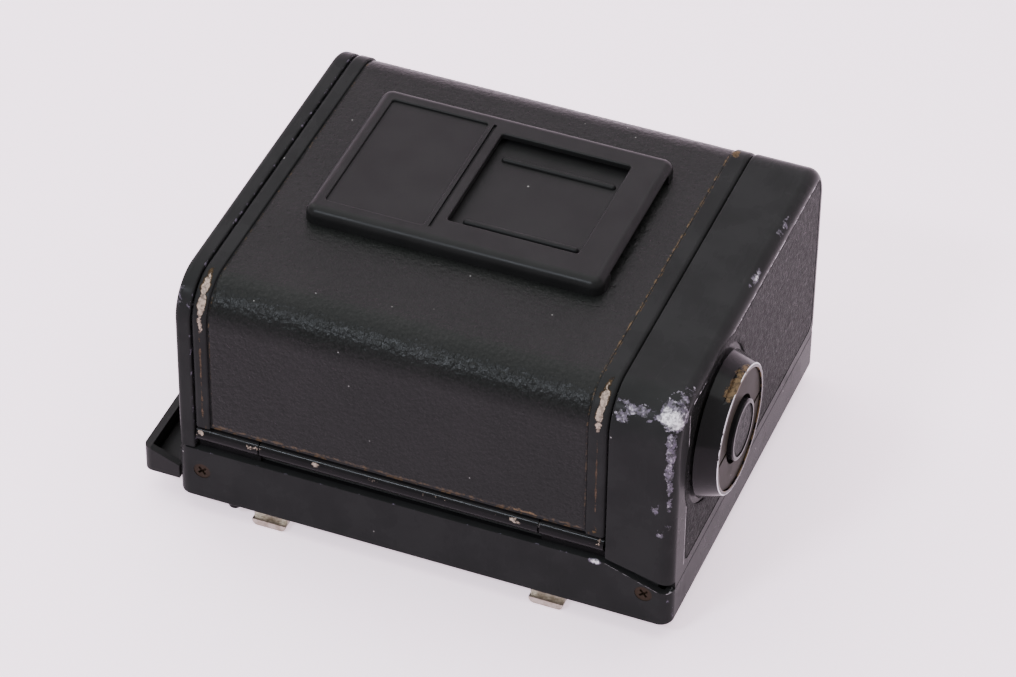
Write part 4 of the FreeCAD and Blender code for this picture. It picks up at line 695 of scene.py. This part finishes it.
def sheet(name, low, high, distance, place, depth):
    """Closed sheet over the part of a plane where distance(u, v) is below zero.

    place(u, v, height) gives the point in mm at a height above the sheet's nominal face, and
    depth(u, v) the relief there. Grid points round the border are drawn onto the border itself.
    """
    u, v = np.meshgrid(np.arange(low[0] - STEP, high[0] + 2 * STEP, STEP),
                       np.arange(low[1] - STEP, high[1] + 2 * STEP, STEP), indexing="ij")
    inside = distance(u, v) < STEP / 2
    kept = inside[:-1, :-1] & inside[1:, :-1] & inside[:-1, 1:] & inside[1:, 1:]
    around = np.zeros(u.shape, int)
    for di in (0, 1):
        for dj in (0, 1):
            around[di:di + kept.shape[0], dj:dj + kept.shape[1]] += kept
    border = (around > 0) & (around < 4)
    for _ in range(2):
        d = distance(u, v)
        du = (distance(u + NUDGE, v) - d) / NUDGE
        dv = (distance(u, v + NUDGE) - d) / NUDGE
        u, v = np.where(border, u - d * du, u), np.where(border, v - d * dv, v)
    used = around > 0
    index = np.full(u.shape, -1)
    index[used] = np.arange(used.sum())
    u, v = u[used], v[used]
    rim = np.clip(1 + distance(u, v) / EDGE_ROLL, 0, 1)
    top = np.stack(place(u, v, depth(u, v) * hide_height(u, v) - EDGE_DROP * rim ** 2), axis=-1)
    bottom = np.stack(place(u, v, np.full(u.shape, -SKIN_T)), axis=-1)
    a, b = index[:-1, :-1], index[1:, :-1]
    c, d = index[1:, 1:], index[:-1, 1:]
    count = len(u)
    face = np.stack((a, b, c, d), axis=-1)[kept]
    walls = []
    beside = np.pad(kept, 1)
    for start, end, other in ((a, b, beside[1:-1, :-2]), (b, c, beside[2:, 1:-1]),
                              (c, d, beside[1:-1, 2:]), (d, a, beside[:-2, 1:-1])):
        edge = kept & ~other
        walls.append(np.stack((end[edge], start[edge], start[edge] + count, end[edge] + count), axis=-1))
    faces = np.concatenate([face, face[:, ::-1] + count] + walls)
    mesh = bpy.data.meshes.new(name)
    mesh.from_pydata((np.concatenate((top, bottom)) * MM).tolist(), [], faces.tolist())
    mesh.polygons.foreach_set("use_smooth", [True] * len(mesh.polygons))
    mesh.set_sharp_from_angle(angle=SHARP)
    return link(bpy.data.objects.new(name, mesh))


def finish_skin(piece, node, body, shader):
    """Puts a skin in place of its CAD node, on the body that carries it."""
    piece.data.materials.append(shader.material)
    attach(piece, body)
    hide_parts(node)


def even(u, v):
    """Half the cover's relief, for the flat skins."""
    return np.full(u.shape, GRAIN_DEEP / 2)


def rounded_box(u, v, low, high, r):
    """Signed distance to a rectangle with rounded corners."""
    qu = np.abs(u - (low[0] + high[0]) / 2) - (high[0] - low[0]) / 2 + r
    qv = np.abs(v - (low[1] + high[1]) / 2) - (high[1] - low[1]) / 2 + r
    return np.hypot(np.maximum(qu, 0), np.maximum(qv, 0)) + np.minimum(np.maximum(qu, qv), 0) - r


def cover_skin():
    """The cover's leatherette, wrapped from the near wall over the rear face to the far lip."""
    (x0, y0, z0), (x1, y1, z1) = box_mm("cover_leatherette")
    r = BEND_R - (box_mm("rear_cover")[1][2] - z1)
    near, bend, flat, lip = z1 - r - z0, r * math.pi / 2, y1 - y0 - 2 * r, z1 - r - LIP_END_Z
    total = near + 2 * bend + flat + lip

    def place(u, v, height):
        turn_in = np.clip(u - near, 0, bend) / r
        along = np.clip(u - near - bend, 0, flat)
        turn_out = np.clip(u - near - bend - flat, 0, bend) / r
        down = np.clip(u - near - 2 * bend - flat, 0, lip)
        y = y0 + r * (1 - np.cos(turn_in)) + along + r * np.sin(turn_out)
        z = z0 + np.clip(u, 0, near) + r * np.sin(turn_in) - r * (1 - np.cos(turn_out)) - down
        turn = turn_in + turn_out
        return v, y - height * np.cos(turn), z + height * np.sin(turn)

    def depth(u, v):
        middle = near + bend * BEND_MIDDLE
        return GRAIN_DEEP * (1 + BEND_RELIEF * np.exp(-((u - middle) / BEND_WIDTH) ** 2))

    piece = sheet("cover_leatherette_grain", (0, x0), (total, x1),
                  lambda u, v: rounded_box(u, v, (0, x0), (total, x1), CORNER_R), place, depth)
    glue = [
        (lambda m: m.block((-34, 34), (-37, -35), (15.8, 16.9), 0.3), 0.455, RUST),
        (lambda m: m.block((32.1, 33), (-37, 37), (15, 46), 0.15), 0.44, RUST),
        (lambda m: m.block((32.2, 33), (-24, 34), (40, 46), 0.15), 0.47, BRASS_BROWN),
        (lambda m: m.block((-33.4, -32.6), (-37, 37), (15, 46), 0.15), 0.40, RUST),
        (lambda m: m.near((22.0, -35.8, 16.4), (12.0, 1.0, 1.4)), 0.55, BRASS_BROWN),
    ]
    finish_skin(piece, "cover_leatherette", "cover", leatherette("cover_leatherette_hide", glue))


def side_skin():
    """The drive housing's leatherette, bulging round the knob's opening."""
    (_, _, low_z), (out_x, far_y, _) = box_mm("side_leatherette")
    near_y = -30.0
    high_z = 41.95
    corner_r = 2.0
    bulge_r = 15.15           # outline round the knob
    bore_r = 13.4             # opening for the knob

    def distance(u, v):
        round_knob = np.hypot(u - KNOB[0], v - KNOB[1])
        field = rounded_box(u, v, (near_y, low_z), (far_y, high_z), corner_r)
        return np.maximum(np.minimum(field, round_knob - bulge_r), bore_r - round_knob)

    piece = sheet("side_leatherette_grain", (KNOB[0] - bulge_r, low_z),
                  (far_y, KNOB[1] + bulge_r), distance,
                  lambda u, v, height: (out_x + height, u, v), even)
    finish_skin(piece, "side_leatherette", "frame", leatherette("side_leatherette_hide", level=0.006))


def cap_skin():
    """The left end cap's leatherette, rounded at its two upper corners."""
    (out_x, y0, z0), (_, y1, z1) = box_mm("left_cap_leatherette")
    r = BEND_R - (box_mm("left_end_cap")[1][1] - y1)

    def distance(u, v):
        return np.maximum(rounded_box(u, v, (y0, z0 - 2 * r), (y1, z1), r), z0 - v)

    piece = sheet("cap_leatherette_grain", (y0, z0), (y1, z1), distance,
                  lambda u, v, height: (out_x - height, u, v), even)
    piece.data.flip_normals()
    finish_skin(piece, "left_cap_leatherette", "frame", leatherette("cap_leatherette_hide"))


def far_skin():
    """The far wall's leatherette with the hole for the catch button."""
    (x0, _, z0), (x1, out_y, z1) = box_mm("far_wall_leatherette")
    (_, _, low), (_, _, high) = box_mm("catch_button")
    middle, hole_r = (low + high) / 2, (high - low) / 2 + BUTTON_GAP

    def distance(u, v):
        outline = rounded_box(u, v, (x0, z0), (x1, z1), CORNER_R)
        return np.maximum(outline, hole_r - np.hypot(u, v - middle))

    piece = sheet("far_leatherette_grain", (x0, z0), (x1, z1), distance,
                  lambda u, v, height: (u, out_y + height, v), even)
    piece.data.flip_normals()
    finish_skin(piece, "far_wall_leatherette", "frame", leatherette("far_leatherette_hide"))


def knob_skin():
    """The round inlay of the knob's hub."""
    (_, y0, z0), (out_x, y1, z1) = box_mm("knob_leatherette")
    r = (y1 - y0) / 2
    piece = sheet("knob_leatherette_grain", (y0, z0), (y1, z1),
                  lambda u, v: np.hypot(u - KNOB[0], v - KNOB[1]) - r,
                  lambda u, v, height: (out_x + height, u, v), even)
    finish_skin(piece, "knob_leatherette", "winding_knob",
                leatherette("knob_leatherette_hide", level=0.012))


make_camera()
make_stage()
make_light()
dress()
cover_skin()
side_skin()
cap_skin()
far_skin()
knob_skin()
